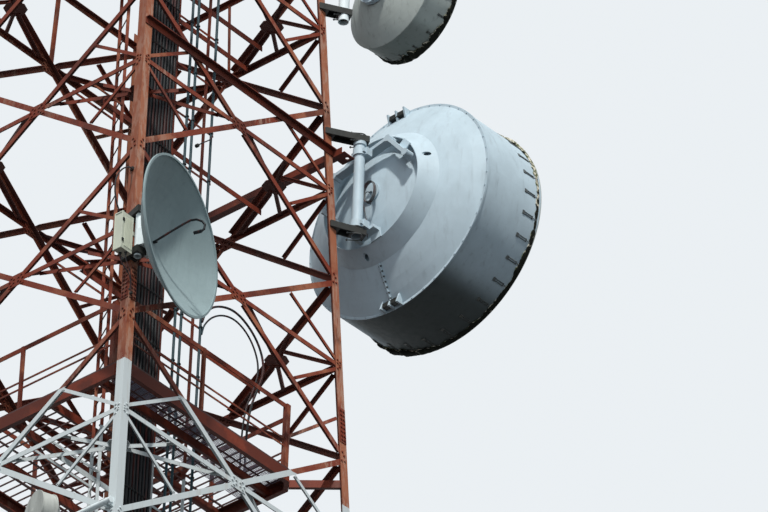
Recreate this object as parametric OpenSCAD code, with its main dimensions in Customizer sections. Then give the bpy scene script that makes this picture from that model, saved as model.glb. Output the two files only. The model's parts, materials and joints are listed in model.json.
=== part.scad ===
// Four-legged lattice mast for microwave dishes: the six bays above ground, with two shrouded
// drum dishes, an open dish, a small drum, a rest platform, a ladder and a feeder run.
// Origin on the mast's centre line at ground level, +Z up, +X east, +Y north. Millimetres.

/* [Mast] */
// Width over the leg heels at ground level
base_w = 6230; // [5600:10:7000]
// Width over the leg heels at the top of the sixth bay
top_w = 3840; // [3600:10:4200]
// Height of the first bay, from the ground
bay_1_h = 5600; // [5000:10:6200]
// Height of the second bay
bay_2_h = 4400; // [4000:10:4800]
// Height of the third bay, the white one
bay_3_h = 3630; // [3400:10:3900]
// Height of the fourth bay
bay_4_h = 3220; // [3000:10:3500]
// Height of the fifth bay, which carries the large drum dish
bay_5_h = 3210; // [3000:10:3500]
// Height of the sixth bay
bay_6_h = 2890; // [2700:10:3200]
// Length of the leg ends above the sixth bay, drilled for the next section
leg_stub = 320; // [240:10:500]

/* [Steel angles] */
// Flange width of the leg angles
leg_w = 150; // [130:5:180]
// Thickness of the leg angles
leg_t = 14; // [10:1:18]
// Flange width of the crossed diagonals
diag_w = 90; // [75:5:100]
// Flange width of the horizontals at the crossings
girt_w = 80; // [65:5:100]
// Flange width of the short struts between a leg and its diagonals
strut_w = 55; // [45:5:70]
// Flange width of the angles that brace each level in plan
plan_w = 65; // [50:5:80]
// Thickness of all bracing angles
brace_t = 8; // [6:1:10]
// Gap between parts that are bolted face to face
fit_gap = 0.5; // [0.3:0.1:1]
// Height above ground where the lowest diagonals meet the legs
foot_h = 280; // [200:10:400]

/* [Base] */
// Side of a square base plate
plate_w = 520; // [460:10:640]
// Thickness of a base plate
plate_t = 32; // [20:1:45]
// Spacing of the four anchor bolts in a base plate
anchor_pitch = 380; // [320:10:420]
// Diameter of an anchor hole
anchor_d = 39; // [30:1:45]

/* [Large drum dish] */
// Outside diameter of the shroud
drum_d = 3700; // [3500:10:3800]
// Length of the shroud, from the reflector's rim to the radome
drum_len = 1190; // [1000:10:1300]
// Depth of the reflector behind its rim
drum_depth = 600; // [520:10:650]
// Height of the dish's axis above the fifth bay's crossing
drum_rise = 250; // [100:10:350]
// Turn of the dish's axis from north towards east
drum_turn = 2; // [0:0.5:6]
// Distance from the mounting pipe's centre to the rim
drum_reach = 890; // [870:10:960]
// Outside diameter of the mounting pipes
pipe_d = 168; // [140:1:180]
// Distance of the mounting pipe east of the leg's heel
drum_pipe_e = 200; // [190:10:260]
// Distance of the mounting pipe north of the leg's heel
drum_pipe_n = 350; // [320:10:420]

/* [Upper drum dish] */
// Outside diameter of the upper shroud
upper_d = 1880; // [1700:10:2000]
// Length of the upper shroud
upper_len = 550; // [450:10:700]
// Depth of the upper reflector behind its rim
upper_depth = 330; // [280:10:360]
// Height of the upper dish's axis above the sixth bay's crossing
upper_rise = 1370; // [1250:10:1450]

/* [Open dish] */
// Outside diameter of the open dish
open_d = 2450; // [2300:10:2600]
// Depth of the open dish
open_depth = 430; // [360:10:480]
// Turn of the open dish's axis from east towards north
open_turn = 16.5; // [10:0.5:22]

/* [Platform] */
// Height of the deck above the third bay's crossing
deck_rise = 1400; // [1300:10:1500]
// Distance from the middle to the outer face of an edge beam
deck_half = 1900; // [1800:10:2000]
// Depth of the edge beams
deck_beam_h = 200; // [160:10:240]
// Height of the guard rails
rail_h = 1130; // [1000:10:1250]

/* [Ladders and cables] */
// Distance of the feeder cables' plane east of the middle
cable_plane = 1100; // [1060:10:1140]
// Distance of the cable ladder's southern edge south of the middle
cable_south = 980; // [940:10:1000]
// Distance of the cable ladder's northern edge north of the middle
cable_north = 560; // [540:10:640]
// Spacing of the cable ladder's rungs
cable_rung_pitch = 900; // [700:50:1200]
// Number of feeder cables in the close-packed run
feeder_count = 9; // [5:1:9]
// Diameter of a feeder cable
feeder_d = 42; // [28:1:50]
// Width of the climbing ladder
climb_w = 400; // [340:10:460]
// Spacing of the climbing ladder's rungs
climb_pitch = 300; // [250:10:350]

/* [Hidden] */
$fn = 48;

orange = [0.72, 0.30, 0.20];
white = [0.86, 0.89, 0.89];
dish_grey = [0.74, 0.80, 0.82];
dark = [0.12, 0.12, 0.13];
cream = [0.85, 0.86, 0.80];

bays = [bay_1_h, bay_2_h, bay_3_h, bay_4_h, bay_5_h, bay_6_h];
function level(k) = k == 0 ? 0 : level(k - 1) + bays[k - 1];
// Heights between which the diagonals of a bay run
function bay_low(k) = max(level(k), foot_h);
mast_h = level(6);
base_half = base_w / 2;
taper = (base_w - top_w) / 2 / mast_h;
lean = atan(taper);
heel_lean = atan(taper * sqrt(2));
function half(z) = base_half - taper * z;
function crossing(k) = let (a = bay_low(k), b = level(k + 1))
    a + (b - a) * half(a) / (half(a) + half(b));
function up_slope(z) = z / cos(lean);
function mid(p, q) = (p + q) / 2;
function heading(p, q) = atan2(q[1] - p[1], q[0] - p[0]);

// Flat bar between two points of a plane
module flat_bar(p, q, w) {
    translate(p)
        rotate([0, 0, heading(p, q)])
            translate([0, -w / 2])
                square([norm(q - p), w]);
}

// Frame of one face: x along the face, y up its slope, z out of it. 0 south, 1 east, 2 north, 3 west
module on_face(side) {
    rotate([0, 0, 90 * side])
        translate([0, -base_half, 0])
            rotate([90 - lean, 0, 0])
                children();
}

// Frame of one leg: z up the heel line, x and y outwards. 0 northeast, then anticlockwise
module on_leg(corner) {
    rotate([0, 0, 90 * corner])
        translate([base_half, base_half, 0])
            rotate(a = heel_lean, v = [1, -1, 0])
                children();
}

// Everything between two heights
module slab(low, high) {
    translate([-2 * base_w, -2 * base_w, low])
        cube([4 * base_w, 4 * base_w, high - low]);
}

// Legs

leg_top = mast_h + leg_stub;
splice_hole_d = 22;
splice_hole_pitch = 90;

module angle_section(w, t, grow = 0) {
    polygon([[grow, grow], [-w - grow, grow], [-w - grow, -t - grow],
             [-t - grow, -t - grow], [-t - grow, -w - grow], [grow, -w - grow]]);
}

// The room a leg takes, with the fitting gap all round
module leg_room(corner) {
    on_leg(corner)
        translate([0, 0, -leg_w])
            linear_extrude(leg_top + 3 * leg_w)
                angle_section(leg_w, leg_t, fit_gap);
}

// Everything on the inner side of a leg's two outer faces
module inside_leg(corner) {
    on_leg(corner)
        translate([-8 * leg_w + fit_gap, -8 * leg_w + fit_gap, 0])
            cube([8 * leg_w, 8 * leg_w, 1.2 * mast_h]);
}

module leg(corner) {
    color(orange)
    difference() {
        intersection() {
            on_leg(corner)
                translate([0, 0, -leg_w])
                    linear_extrude(leg_top + 2 * leg_w + leg_stub)
                        angle_section(leg_w, leg_t);
            slab(plate_t, leg_top);
        }
        on_leg(corner)
            translate([0, 0, leg_top / cos(heel_lean)])
                for (row = [0.6, 1.6], turn = [0, 1])
                    rotate([0, 0, -90 * turn])
                        mirror([turn, 0, 0])
                            translate([-leg_w * 0.55, leg_t, -row * splice_hole_pitch])
                                rotate([90, 0, 0])
                                    cylinder(d = splice_hole_d, h = 4 * leg_t);
    }
}

module leg_southeast() { leg(3); }
module leg_northeast() { leg(0); }
module leg_northwest() { leg(1); }
module leg_southwest() { leg(2); }

// Base plates, each with four anchor holes and a shoe angle outside the leg's flanges

shoe_t = 16;
shoe_h = 240;
shoe_inset = 12;
plate_mid = base_half - leg_w / 2;

module base_plate() {
    translate([plate_mid, plate_mid, 0])
        difference() {
            translate([-plate_w / 2, -plate_w / 2, 0])
                cube([plate_w, plate_w, plate_t - fit_gap]);
            for (x = [-1, 1], y = [-1, 1])
                translate([x * anchor_pitch / 2, y * anchor_pitch / 2, -1])
                    cylinder(d = anchor_d, h = plate_t + 2);
        }
}

module shoe() {
    intersection() {
        on_leg(0)
            for (turn = [0, 1])
                mirror([turn, -turn, 0])
                    translate([-leg_w + shoe_inset, fit_gap, -shoe_h])
                        cube([leg_w - shoe_inset + shoe_t * turn, shoe_t, 3 * shoe_h]);
        slab(plate_t / 2, shoe_h);
    }
}

module base_plates() {
    color(orange)
    for (corner = [0:3])
        rotate([0, 0, 90 * corner])
            union() {
                base_plate();
                shoe();
            }
}

// Splice covers on the outside of both flanges of each leg

splice_len = 620;
splice_cover_t = 10;
splice_levels = [level(1) + 420, level(3) + 300];

module leg_splices() {
    color(orange)
    for (corner = [0:3], z = splice_levels)
        on_leg(corner)
            translate([0, 0, z])
                for (turn = [0, 1])
                    rotate([0, 0, -90 * turn])
                        mirror([turn, 0, 0])
                            translate([-leg_w + 8, fit_gap, 0])
                                cube([leg_w - 16, splice_cover_t, splice_len]);
}

// Face bracing: crossed diagonals, a horizontal through the crossing and short struts to the legs.
// Every bar is an angle of its own, cut square where it would meet its neighbour.

brace_face = -(leg_t + fit_gap);
end_gap = 2 * leg_t + 4;
butt_gap = 2;
rib_gap = 12;
rib_clear = leg_w * 0.86;

// Angle bar in a face's frame: flat against the legs, its other flange inward on the upper edge.
// The last two arguments are where that flange begins and ends when it is shorter than the flat.
module angle_bar(p, q, w, start, finish, rib_start, rib_finish) {
    length = norm(q - p);
    translate([p[0], p[1], brace_face])
        rotate([0, 0, heading(p, q)])
            union() {
                translate([start, -w / 2, -brace_t])
                    cube([length - start - finish, w, brace_t]);
                translate([rib_start, w / 2 - 1 - brace_t, -w])
                    cube([length - rib_start - rib_finish, brace_t, w - brace_t / 2]);
            }
}

function at_leg(s, z) = [s * half(z), up_slope(z)];
function at_middle(z) = [0, up_slope(z)];

// How far along a bar its square end must stop to clear another bar, or the leg's other flange
function clear_of(turn, w, other_w) = (other_w / 2 + w / 2 * abs(cos(turn))) / abs(sin(turn)) + butt_gap;
function clear_of_heel(turn, w) =
    max((end_gap + w / 2 * abs(sin(turn))) / abs(cos(turn)), w / 2 / abs(tan(turn)) + 2 * butt_gap);
function rib_from_heel(turn) = rib_clear / abs(cos(turn));

module diagonals(k) {
    a = bay_low(k);
    b = level(k + 1);
    turn = heading(at_leg(-1, a), at_leg(1, b));
    heel = clear_of_heel(turn, diag_w);
    ribs = max(heel, rib_from_heel(turn));
    cross = clear_of(2 * turn, diag_w, diag_w);
    middle = at_middle(crossing(k));
    angle_bar(at_leg(-1, a), at_leg(1, b), diag_w, heel, heel, ribs, ribs);
    angle_bar(at_leg(-1, b), middle, diag_w, heel, cross, ribs, cross + diag_w);
    angle_bar(middle, at_leg(1, a), diag_w, cross, heel, cross + diag_w, ribs);
}

module horizontals(k) {
    c = crossing(k);
    turn = heading(at_leg(-1, bay_low(k)), at_leg(1, level(k + 1)));
    inner = clear_of(turn, girt_w, diag_w);
    angle_bar(at_leg(-1, c), at_middle(c), girt_w, end_gap, inner, rib_clear, inner + rib_gap);
    angle_bar(at_middle(c), at_leg(1, c), girt_w, inner, end_gap, inner + rib_gap, rib_clear);
}

module struts(k) {
    c = crossing(k);
    for (z = [bay_low(k), level(k + 1)]) {
        foot = mid(at_middle(c), at_leg(-1, z));
        turn = heading(at_leg(-1, c), foot);
        meet = turn - heading(at_middle(c), at_leg(-1, z));
        leg_end = max(clear_of(turn, strut_w, girt_w), clear_of_heel(turn, strut_w));
        far_end = clear_of(meet, strut_w, diag_w);
        ribs = max(leg_end, rib_from_heel(turn)) + rib_gap;
        angle_bar(at_leg(-1, c), foot, strut_w, leg_end, far_end, ribs, far_end + rib_gap);
        angle_bar([-foot[0], foot[1]], at_leg(1, c), strut_w, far_end, leg_end, far_end + rib_gap, ribs);
    }
}

gusset_w = 300;
gusset_h = 220;
gusset_t = 10;

// Plate over the crossing, on the outside of the bars
module crossing_plate(k) {
    translate([0, up_slope(crossing(k)), brace_face + fit_gap + gusset_t / 2])
        cube([gusset_w, gusset_h, gusset_t], center = true);
}

// Horizontal that closes the top of the sixth bay, with a hanger to it on two faces
module closing_bars(side) {
    z = mast_h + girt_w / 2 + 12;
    turn = heading(at_leg(-1, level(5)), at_leg(1, mast_h));
    angle_bar(at_leg(-1, z), at_leg(1, z), girt_w, end_gap, end_gap, rib_clear, rib_clear);
    if (side > 1) {
        low = clear_of(90 - turn, strut_w, diag_w);
        high = girt_w / 2 + butt_gap;
        angle_bar(at_middle(crossing(5)), at_middle(z), strut_w, low, high, low + 2 * rib_gap, high + rib_gap);
    }
}

module face_bracing(side, first, last) {
    color(orange)
    on_face(side) {
        for (k = [first:last]) {
            diagonals(k);
            horizontals(k);
            struts(k);
            crossing_plate(k);
        }
        if (last == 5)
            closing_bars(side);
    }
}

module south_bracing_lower() { face_bracing(0, 0, 1); }
module south_bracing_middle() { face_bracing(0, 2, 3); }
module south_bracing_upper() { face_bracing(0, 4, 5); }
module east_bracing_lower() { face_bracing(1, 0, 1); }
module east_bracing_middle() { face_bracing(1, 2, 3); }
module east_bracing_upper() { face_bracing(1, 4, 5); }
module north_bracing_lower() { face_bracing(2, 0, 1); }
module north_bracing_middle() { face_bracing(2, 2, 3); }
module north_bracing_upper() { face_bracing(2, 4, 5); }
module west_bracing_lower() { face_bracing(3, 0, 1); }
module west_bracing_middle() { face_bracing(3, 2, 3); }
module west_bracing_upper() { face_bracing(3, 4, 5); }

// Plan bracing at each crossing: two long and two short angles fan out from a plate in each corner
// to the undersides of the horizontals; a beam under the long ones carries the cable ladder

knee_share = 0.7;
fan_gap = 125;
fan_plate_r = 190;
face_clear = 120;

function plan_top(k) = crossing(k) + (girt_w / 2 - 1 - brace_t) * cos(lean)
    - (leg_t + fit_gap + girt_w) * sin(lean) - fit_gap;

// Angle lying flat with its other flange down, from a corner plate towards a face
module plan_bar(p, q, finish) {
    length = norm(q - p);
    translate([p[0], p[1], 0])
        rotate([0, 0, heading(p, q)])
            union() {
                translate([fan_gap, -plan_w / 2, -brace_t])
                    cube([length - fan_gap - finish, plan_w, brace_t]);
                translate([fan_gap + rib_gap, plan_w / 2 - 1 - brace_t, -plan_w])
                    cube([length - fan_gap - finish - leg_w, brace_t, plan_w - brace_t / 2]);
            }
}

function plan_end(p, q) = let (turn = heading(p, q))
    (end_gap + plan_w / 2 * abs(sin(turn))) / abs(cos(turn));

module plan_fan(k) {
    w = half(crossing(k));
    apex = knee_share * [w, w];
    for (turn = [0, 1])
        mirror([turn, -turn, 0])
            for (target = [[w, face_clear], [w, w / 2]])
                plan_bar(apex, target, plan_end(apex, target));
    translate([apex[0], apex[1], fit_gap])
        cylinder(r = fan_plate_r, h = brace_t, $fn = 8);
}

// Angle along the mast's depth under the long bars of the fans
module plan_beam(k, x) {
    w = half(crossing(k));
    knee = knee_share * w;
    reach = knee + (w - knee) * (knee - x) / (knee - face_clear) + plan_w / 2 + rib_gap;
    translate([x - brace_t, -reach, -plan_w - fit_gap - diag_w])
        cube([brace_t, 2 * reach, diag_w]);
    translate([x - diag_w, -reach, -plan_w - fit_gap - brace_t])
        cube([diag_w - brace_t / 2, 2 * reach, brace_t - 1]);
}

module plan_level(k) {
    translate([0, 0, plan_top(k)]) {
        for (corner = [0:3])
            rotate([0, 0, 90 * corner])
                plan_fan(k);
        union()
            plan_beam(k, stringer_back - rung_t / 2 - fit_gap);
        if (k == 5)
            union()
                plan_beam(k, half(crossing(k)) * 0.25);
    }
}

module plan_bracing(first, last) {
    color(orange)
        for (k = [first:last])
            plan_level(k);
}

module plan_bracing_lower() { plan_bracing(0, 1); }
module plan_bracing_middle() { plan_bracing(2, 3); }
module plan_bracing_upper() { plan_bracing(4, 5); }

// Heavy angles outside the east and north faces, at the large dish's upper bracket

girt_rise = 720;
heavy_w = 115;
heavy_t = 14;
heavy_over = 180;

module dish_girts() {
    z = crossing(4) + girt_rise;
    out = half(z - heavy_w / 2) + fit_gap;
    color(orange)
    union() {
        translate([out, -out, z - heavy_w / 2])
            cube([heavy_t, 2 * out + heavy_over, heavy_w]);
        translate([out, -out, z + heavy_w / 2 - heavy_t])
            cube([heavy_w * 0.7, 2 * out + heavy_over, heavy_t]);
        translate([-out, out, z - heavy_w / 2 - heavy_t - fit_gap])
            cube([2 * out + heavy_over, heavy_w, heavy_t]);
        translate([-out, out, z - heavy_w / 2 - heavy_t - fit_gap])
            cube([2 * out + heavy_over, heavy_t, heavy_w + fit_gap + heavy_t / 2]);
        translate([out, out, z - heavy_w / 2 - heavy_t])
            difference() {
                cube([heavy_over + 60, heavy_over + 60, heavy_t]);
                translate([heavy_over - 20, heavy_over - 20, -1])
                    cylinder(d = 60, h = 2 * heavy_t);
            }
    }
}

// Rest platform

deck_z = crossing(2) + deck_rise;
deck_corner = deck_half - 180;
beam_flange = 75;
beam_web = 9;
joist_x = [-1200, -400, 380, cable_plane + 230];
joist_w = 50;
deck_t = 25;

module deck_outline(inset) {
    a = deck_half - inset;
    b = deck_corner - inset * tan(22.5);
    polygon([[a, -b], [a, b], [b, a], [-b, a], [-a, b], [-a, -b], [-b, -a], [b, -a]]);
}

module deck_ring(inner, thickness) {
    linear_extrude(thickness)
        difference() {
            deck_outline(0);
            deck_outline(inner);
        }
}

module platform_beams() {
    color(orange)
    translate([0, 0, deck_z - deck_beam_h])
        union() {
            deck_ring(beam_web, deck_beam_h);
            deck_ring(beam_flange, beam_web);
            translate([0, 0, deck_beam_h - beam_web])
                deck_ring(beam_flange, beam_web);
            for (x = joist_x)
                translate([x - joist_w / 2, -deck_half + beam_web / 2, deck_beam_h * 0.3])
                    cube([joist_w, 2 * deck_half - beam_web, deck_beam_h * 0.7 - 1]);
        }
}

// Grating of flat bars, open round the cables and over the ladder

mesh_pitch = 150;
mesh_bar = 12;
cross_pitch = 480;
grating_edge = 60;
cable_room = 110;
hatch_size = 860;

module deck_openings() {
    translate([cable_plane - cable_room, -cable_south - cable_room])
        square([2 * cable_room, cable_south + cable_north + 2 * cable_room]);
    translate([cable_plane + cable_room - hatch_size, climb_y - hatch_size / 2])
        square([hatch_size, hatch_size]);
}

module platform_deck() {
    lanes = floor(deck_half / mesh_pitch);
    ties = floor(deck_half / cross_pitch);
    color([0.45, 0.45, 0.55])
    translate([0, 0, deck_z + fit_gap])
        linear_extrude(deck_t)
            difference() {
                union() {
                    difference() {
                        deck_outline(0);
                        deck_outline(grating_edge);
                    }
                    intersection() {
                        deck_outline(grating_edge / 2);
                        union() {
                            for (n = [-lanes:lanes])
                                translate([-deck_half, n * mesh_pitch - mesh_bar / 2])
                                    square([2 * deck_half, mesh_bar]);
                            for (n = [-ties:ties])
                                translate([n * cross_pitch - mesh_bar, -deck_half])
                                    square([2 * mesh_bar, 2 * deck_half]);
                        }
                    }
                }
                deck_openings();
            }
}

// Arms that carry the platform's corners from the insides of the legs

hanger_w = 60;
hanger_h = 130;

module hanger(corner) {
    low = deck_z - deck_beam_h + beam_flange / 2;
    notch = leg_t * sqrt(2) + hanger_w / 2 + fit_gap * 2;
    difference() {
        on_leg(corner)
            translate([0, 0, low / cos(heel_lean)])
                rotate([0, 0, 45])
                    translate([-deck_half, -hanger_w / 2, 0])
                        cube([deck_half - notch, hanger_w, hanger_h]);
        translate([0, 0, low - deck_beam_h])
            linear_extrude(4 * deck_beam_h)
                deck_outline(-fit_gap);
    }
}

module platform_hangers() {
    color(orange)
        for (corner = [0:3])
            hanger(corner);
}

// Straight square bar between two points
module bar_between(p, q, w, t) {
    way = q - p;
    translate(p)
        rotate([0, acos(way[2] / norm(way)), atan2(way[1], way[0])])
            translate([-w / 2, -t / 2, 0])
                cube([w, t, norm(way)]);
}

rail_w = 80;
rail_t = 12;
mid_rail_w = 30;
post_w = 50;
corner_post_w = 80;
mid_post_at = -200;
rail_brace_rise = 1070;

// Guard rail along one edge, with a brace from its corner post up to the leg
module rail_side() {
    x = deck_half - beam_flange / 2;
    corner_at = deck_corner - corner_post_w / 2;
    brace_top = deck_z + rail_brace_rise;
    brace_end = half(brace_top) - leg_w / 2;
    translate([x, 0, deck_z + deck_t + 2 * fit_gap]) {
        translate([-post_w / 2, mid_post_at - post_w / 2, 0])
            cube([post_w, post_w, rail_h - rail_t]);
        translate([-corner_post_w / 2, corner_at - corner_post_w, 0])
            cube([corner_post_w, corner_post_w, rail_h - rail_t]);
        translate([-rail_t / 2, -corner_at, rail_h - rail_w])
            cube([rail_t, 2 * corner_at, rail_w]);
        for (share = [0.32, 0.43])
            translate([-rail_t / 2, -corner_at, rail_h * share])
                cube([rail_t, 2 * corner_at, mid_rail_w]);
    }
    bar_between([x, corner_at - corner_post_w / 2, deck_z + rail_h * 0.5],
                [brace_end, brace_end - 2 * leg_t, brace_top], strut_w, rail_t);
}

module platform_rails() {
    color(orange)
        for (side = [0:3])
            rotate([0, 0, 90 * side])
                union()
                    rail_side();
}

// Climbing ladder inside the south face, turned towards the southeast leg, with arms that rest on
// the horizontals

climb_x = 870;
climb_y = -1300;
climb_turn = -29.4;
climb_low = 300;
climb_over = 150;
stile_w = 50;
stile_t = 12;
arm_w = 40;
rung_d = 20;

module climbing_ladder() {
    rungs = floor((mast_h + climb_over - climb_low) / climb_pitch);
    color(orange)
    union() {
        translate([climb_x, climb_y, climb_low])
            rotate([0, 0, climb_turn]) {
                for (s = [-1, 1])
                    translate([s * climb_w / 2 - stile_t / 2, -stile_w / 2, 0])
                        cube([stile_t, stile_w, mast_h + climb_over - climb_low]);
                for (n = [0:rungs - 1])
                    translate([-climb_w / 2, 0, climb_pitch * (n + 0.5)])
                        rotate([0, 90, 0])
                            cylinder(d = rung_d, h = climb_w, $fn = 8);
            }
        for (k = [0:5], s = [-1, 1])
            climb_arm(k, climb_x + s * climb_w / 2 * cos(climb_turn), climb_y + s * climb_w / 2 * sin(climb_turn));
    }
}

module climb_arm(k, x, y) {
    reach = half(crossing(k)) - end_gap;
    z = crossing(k) + (girt_w / 2 - 1) * cos(lean) - (end_gap - brace_t) * sin(lean) + fit_gap;
    translate([x - stile_t / 2, -reach, z])
        cube([stile_t, reach + y, arm_w]);
}

// Cable ladder and feeders

stringer_w = 52;
stringer_t = 12;
wide_stringer_w = 180;
rung_t = 8;
rung_w = 40;
rung_back = cable_plane - feeder_d / 2 - fit_gap - rung_t;
stringer_back = rung_back - stringer_w;
cable_ladder_low = 60;
stringer_y = [-cable_south, -330, 370];
feeder_low = 30;
feeder_sides = 24;
feeder_start = -cable_south + 55;
feeder_stop = stringer_y[1] - 60;
stray_y = [-60, 70, 490];

module cable_ladder() {
    rungs = floor((mast_h - cable_ladder_low - 300) / cable_rung_pitch);
    color(orange)
    union() {
        for (y = stringer_y)
            translate([stringer_back, y, cable_ladder_low])
                cube([stringer_w + rung_t / 2, stringer_t, mast_h - cable_ladder_low]);
        translate([stringer_back - rung_t / 2, stringer_y[1] - wide_stringer_w / 2, cable_ladder_low])
            cube([rung_t, wide_stringer_w, mast_h - cable_ladder_low]);
        for (n = [0:rungs])
            translate([rung_back, -cable_south + stringer_t / 3, cable_ladder_low + 150 + n * cable_rung_pitch])
                cube([rung_t, cable_south + cable_north, rung_w]);
    }
}

module feeder_cables() {
    pitch = (feeder_stop - feeder_start) / (feeder_count - 1);
    across = feeder_d * cos(180 / feeder_sides) + fit_gap;
    outer_row = sqrt(max(0, pow(across, 2) - pow(pitch / 2, 2)));
    color(dark) {
        for (n = [0:feeder_count - 1])
            translate([cable_plane, feeder_start + n * pitch, feeder_low])
                cylinder(d = feeder_d, h = mast_h - feeder_low, $fn = feeder_sides);
        for (n = [1:feeder_count - 1])
            translate([cable_plane + outer_row, feeder_start + (n - 0.5) * pitch, feeder_low])
                cylinder(d = feeder_d, h = mast_h - feeder_low, $fn = feeder_sides);
        for (y = stray_y)
            translate([cable_plane, y, feeder_low])
                cylinder(d = feeder_d, h = mast_h - feeder_low, $fn = feeder_sides);
    }
}

// Drum dishes. Local frame: z forward along the axis from the rim, y down

module facing_north(turn) {
    rotate([0, 0, -turn])
        rotate([-90, 0, 0])
            children();
}

function bowl(r, rim_r, depth) = -depth * (1 - pow(r / rim_r, 2));

bowl_steps = 10;

module bowl_shell(rim_r, depth, t, hole_r) {
    rotate_extrude($fn = 72)
        polygon(concat(
            [for (n = [0:bowl_steps]) let (r = hole_r + (rim_r - hole_r) * n / bowl_steps)
                [r, bowl(r, rim_r, depth)]],
            [for (n = [bowl_steps:-1:0]) let (r = hole_r + (rim_r - hole_r) * n / bowl_steps)
                [r, bowl(r, rim_r, depth) - t]]));
}

shell_t = 6;
rim_flange = 45;

drum_z = crossing(4) + drum_rise;
drum_pipe_at = [half(drum_z) + drum_pipe_e, half(drum_z) + drum_pipe_n, drum_z];

module at_large_dish() {
    translate(drum_pipe_at)
        facing_north(drum_turn)
            translate([0, 0, drum_reach])
                children();
}

drum_r = drum_d / 2;
hub_r = 130;

module large_reflector() {
    color(dish_grey)
    at_large_dish()
        union() {
            bowl_shell(drum_r - rim_flange, drum_depth, shell_t, hub_r);
            translate([0, 0, -shell_t])
                difference() {
                    cylinder(r = drum_r - 2, h = shell_t, $fn = 96);
                    translate([0, 0, -1])
                        cylinder(r = drum_r - rim_flange - 4, h = shell_t + 2, $fn = 96);
                }
        }
}

ring_base_r = 1170;
ring_edge_r = 970;
ring_hole_d = 90;
ring_hole_turns = [-18, 99];

module large_back_ring() {
    base_z = bowl(ring_base_r, drum_r - rim_flange, drum_depth) - shell_t - fit_gap;
    edge_z = -drum_depth - 20;
    inner_z = bowl(ring_edge_r - 12, drum_r - rim_flange, drum_depth) - shell_t - fit_gap;
    color(dish_grey)
    at_large_dish()
        difference() {
        rotate_extrude($fn = 96)
            polygon([[ring_base_r, base_z], [ring_edge_r, edge_z], [ring_edge_r - 12, edge_z],
                     [ring_edge_r - 12, inner_z], [ring_edge_r, inner_z],
                     [ring_edge_r, edge_z + 60], [ring_base_r - 12, base_z - 8]]);
            for (turn = ring_hole_turns)
                rotate([0, 0, turn])
                    translate([(ring_base_r + ring_edge_r) / 2, 0, edge_z])
                        cylinder(d = ring_hole_d, h = drum_depth);
        }
}

module drum_shell(r, length, t) {
    difference() {
        union() {
            cylinder(r = r, h = length, $fn = 96);
            for (z = [0, length - 30])
                translate([0, 0, z])
                    cylinder(r = r + 12, h = 30, $fn = 96);
        }
        translate([0, 0, -1])
            cylinder(r = r - t, h = length + 2, $fn = 96);
    }
}

module large_shroud() {
    color(dish_grey)
    at_large_dish()
        translate([0, 0, fit_gap])
            drum_shell(drum_r - 12, drum_len, shell_t);
}

module drum_radome(r, bulge) {
    rotate_extrude($fn = 96)
        polygon([[0, 0], [r, 0], [r, 16], [r - 30, 16], [r * 0.75, bulge * 0.45], [r * 0.4, bulge * 0.85],
                 [0, bulge]]);
}

module large_radome() {
    color([0.62, 0.64, 0.60])
    at_large_dish()
        translate([0, 0, drum_len + 2 * fit_gap])
            drum_radome(drum_r, 40);
}

module large_feed_hub() {
    back = bowl(hub_r, drum_r - rim_flange, drum_depth) - shell_t - fit_gap;
    color(dish_grey)
    at_large_dish()
        translate([0, 0, back - 22]) {
            difference() {
                cylinder(r = hub_r + 40, h = 22, $fn = 48);
                translate([0, 0, -1])
                    cylinder(r = 34, h = 30, $fn = 32);
            }
            translate([0, 0, 22])
                difference() {
                    cylinder(r = 60, h = drum_depth * 0.9, $fn = 32);
                    translate([0, 0, -1])
                        cylinder(r = 34, h = drum_depth, $fn = 32);
                }
        }
}

// Two long bars and three short ones across the back ring, open on the side away from the leg
frame_r = 870;
frame_half_angle = 19.3;
frame_turn = 40;
frame_bar_w = 60;
frame_bar_h = 150;
// Plates that carry the frame on the back ring's edge
ring_plate_w = 200;
ring_plate_t = 20;

function frame_corner(n, s) = let (a = frame_turn + 120 * n + s * frame_half_angle)
    frame_r * [cos(a), -sin(a)];

frame_back = -drum_depth - 20 - fit_gap - frame_bar_h;

module large_mount_frame() {
    color(dish_grey)
    at_large_dish()
        translate([0, 0, frame_back])
            union() {
                linear_extrude(frame_bar_h) {
                    for (n = [0, 1]) {
                        flat_bar(frame_corner(n, -1), frame_corner(n, 1), frame_bar_w);
                        flat_bar(frame_corner(n, 1), frame_corner(n + 1, -1), frame_bar_w);
                        for (s = [-1, 1])
                            translate(frame_corner(n, s))
                                circle(d = 2 * frame_bar_w, $fn = 12);
                    }
                    flat_bar(frame_corner(2, -1), 0.35 * frame_corner(2, -1) + 0.65 * frame_corner(2, 1), frame_bar_w);
                    translate(frame_corner(2, -1))
                        circle(d = 2 * frame_bar_w, $fn = 12);
                }
                for (n = [0:2])
                    rotate([0, 0, -frame_turn - 120 * n])
                        translate([frame_r * cos(frame_half_angle) - frame_bar_w / 2, -ring_plate_w / 2,
                                   frame_bar_h - ring_plate_t])
                            cube([ring_edge_r + 4 - frame_r * cos(frame_half_angle) + frame_bar_w / 2,
                                  ring_plate_w, ring_plate_t]);
            }
}

// Clamps that hold the frame's bars to the pipe, one high and one low
clamp_rise = [590, -770];
clamp_h = 130;
clamp_w = 300;
clamp_t = 24;

module pipe_clamp(reach, w, h) {
    difference() {
        union() {
            cylinder(d = pipe_d + 2 * clamp_t, h = h);
            translate([-w / 2, 0, 0])
                cube([w, reach, h]);
            for (s = [-1, 1])
                translate([s * (pipe_d / 2 + clamp_t) - clamp_t, -2 * clamp_t, h / 4])
                    cube([2 * clamp_t, 2 * clamp_t + 1, h / 2]);
        }
        translate([0, 0, -1])
            cylinder(d = pipe_d + 2 * fit_gap, h = h + 2);
    }
}

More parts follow.
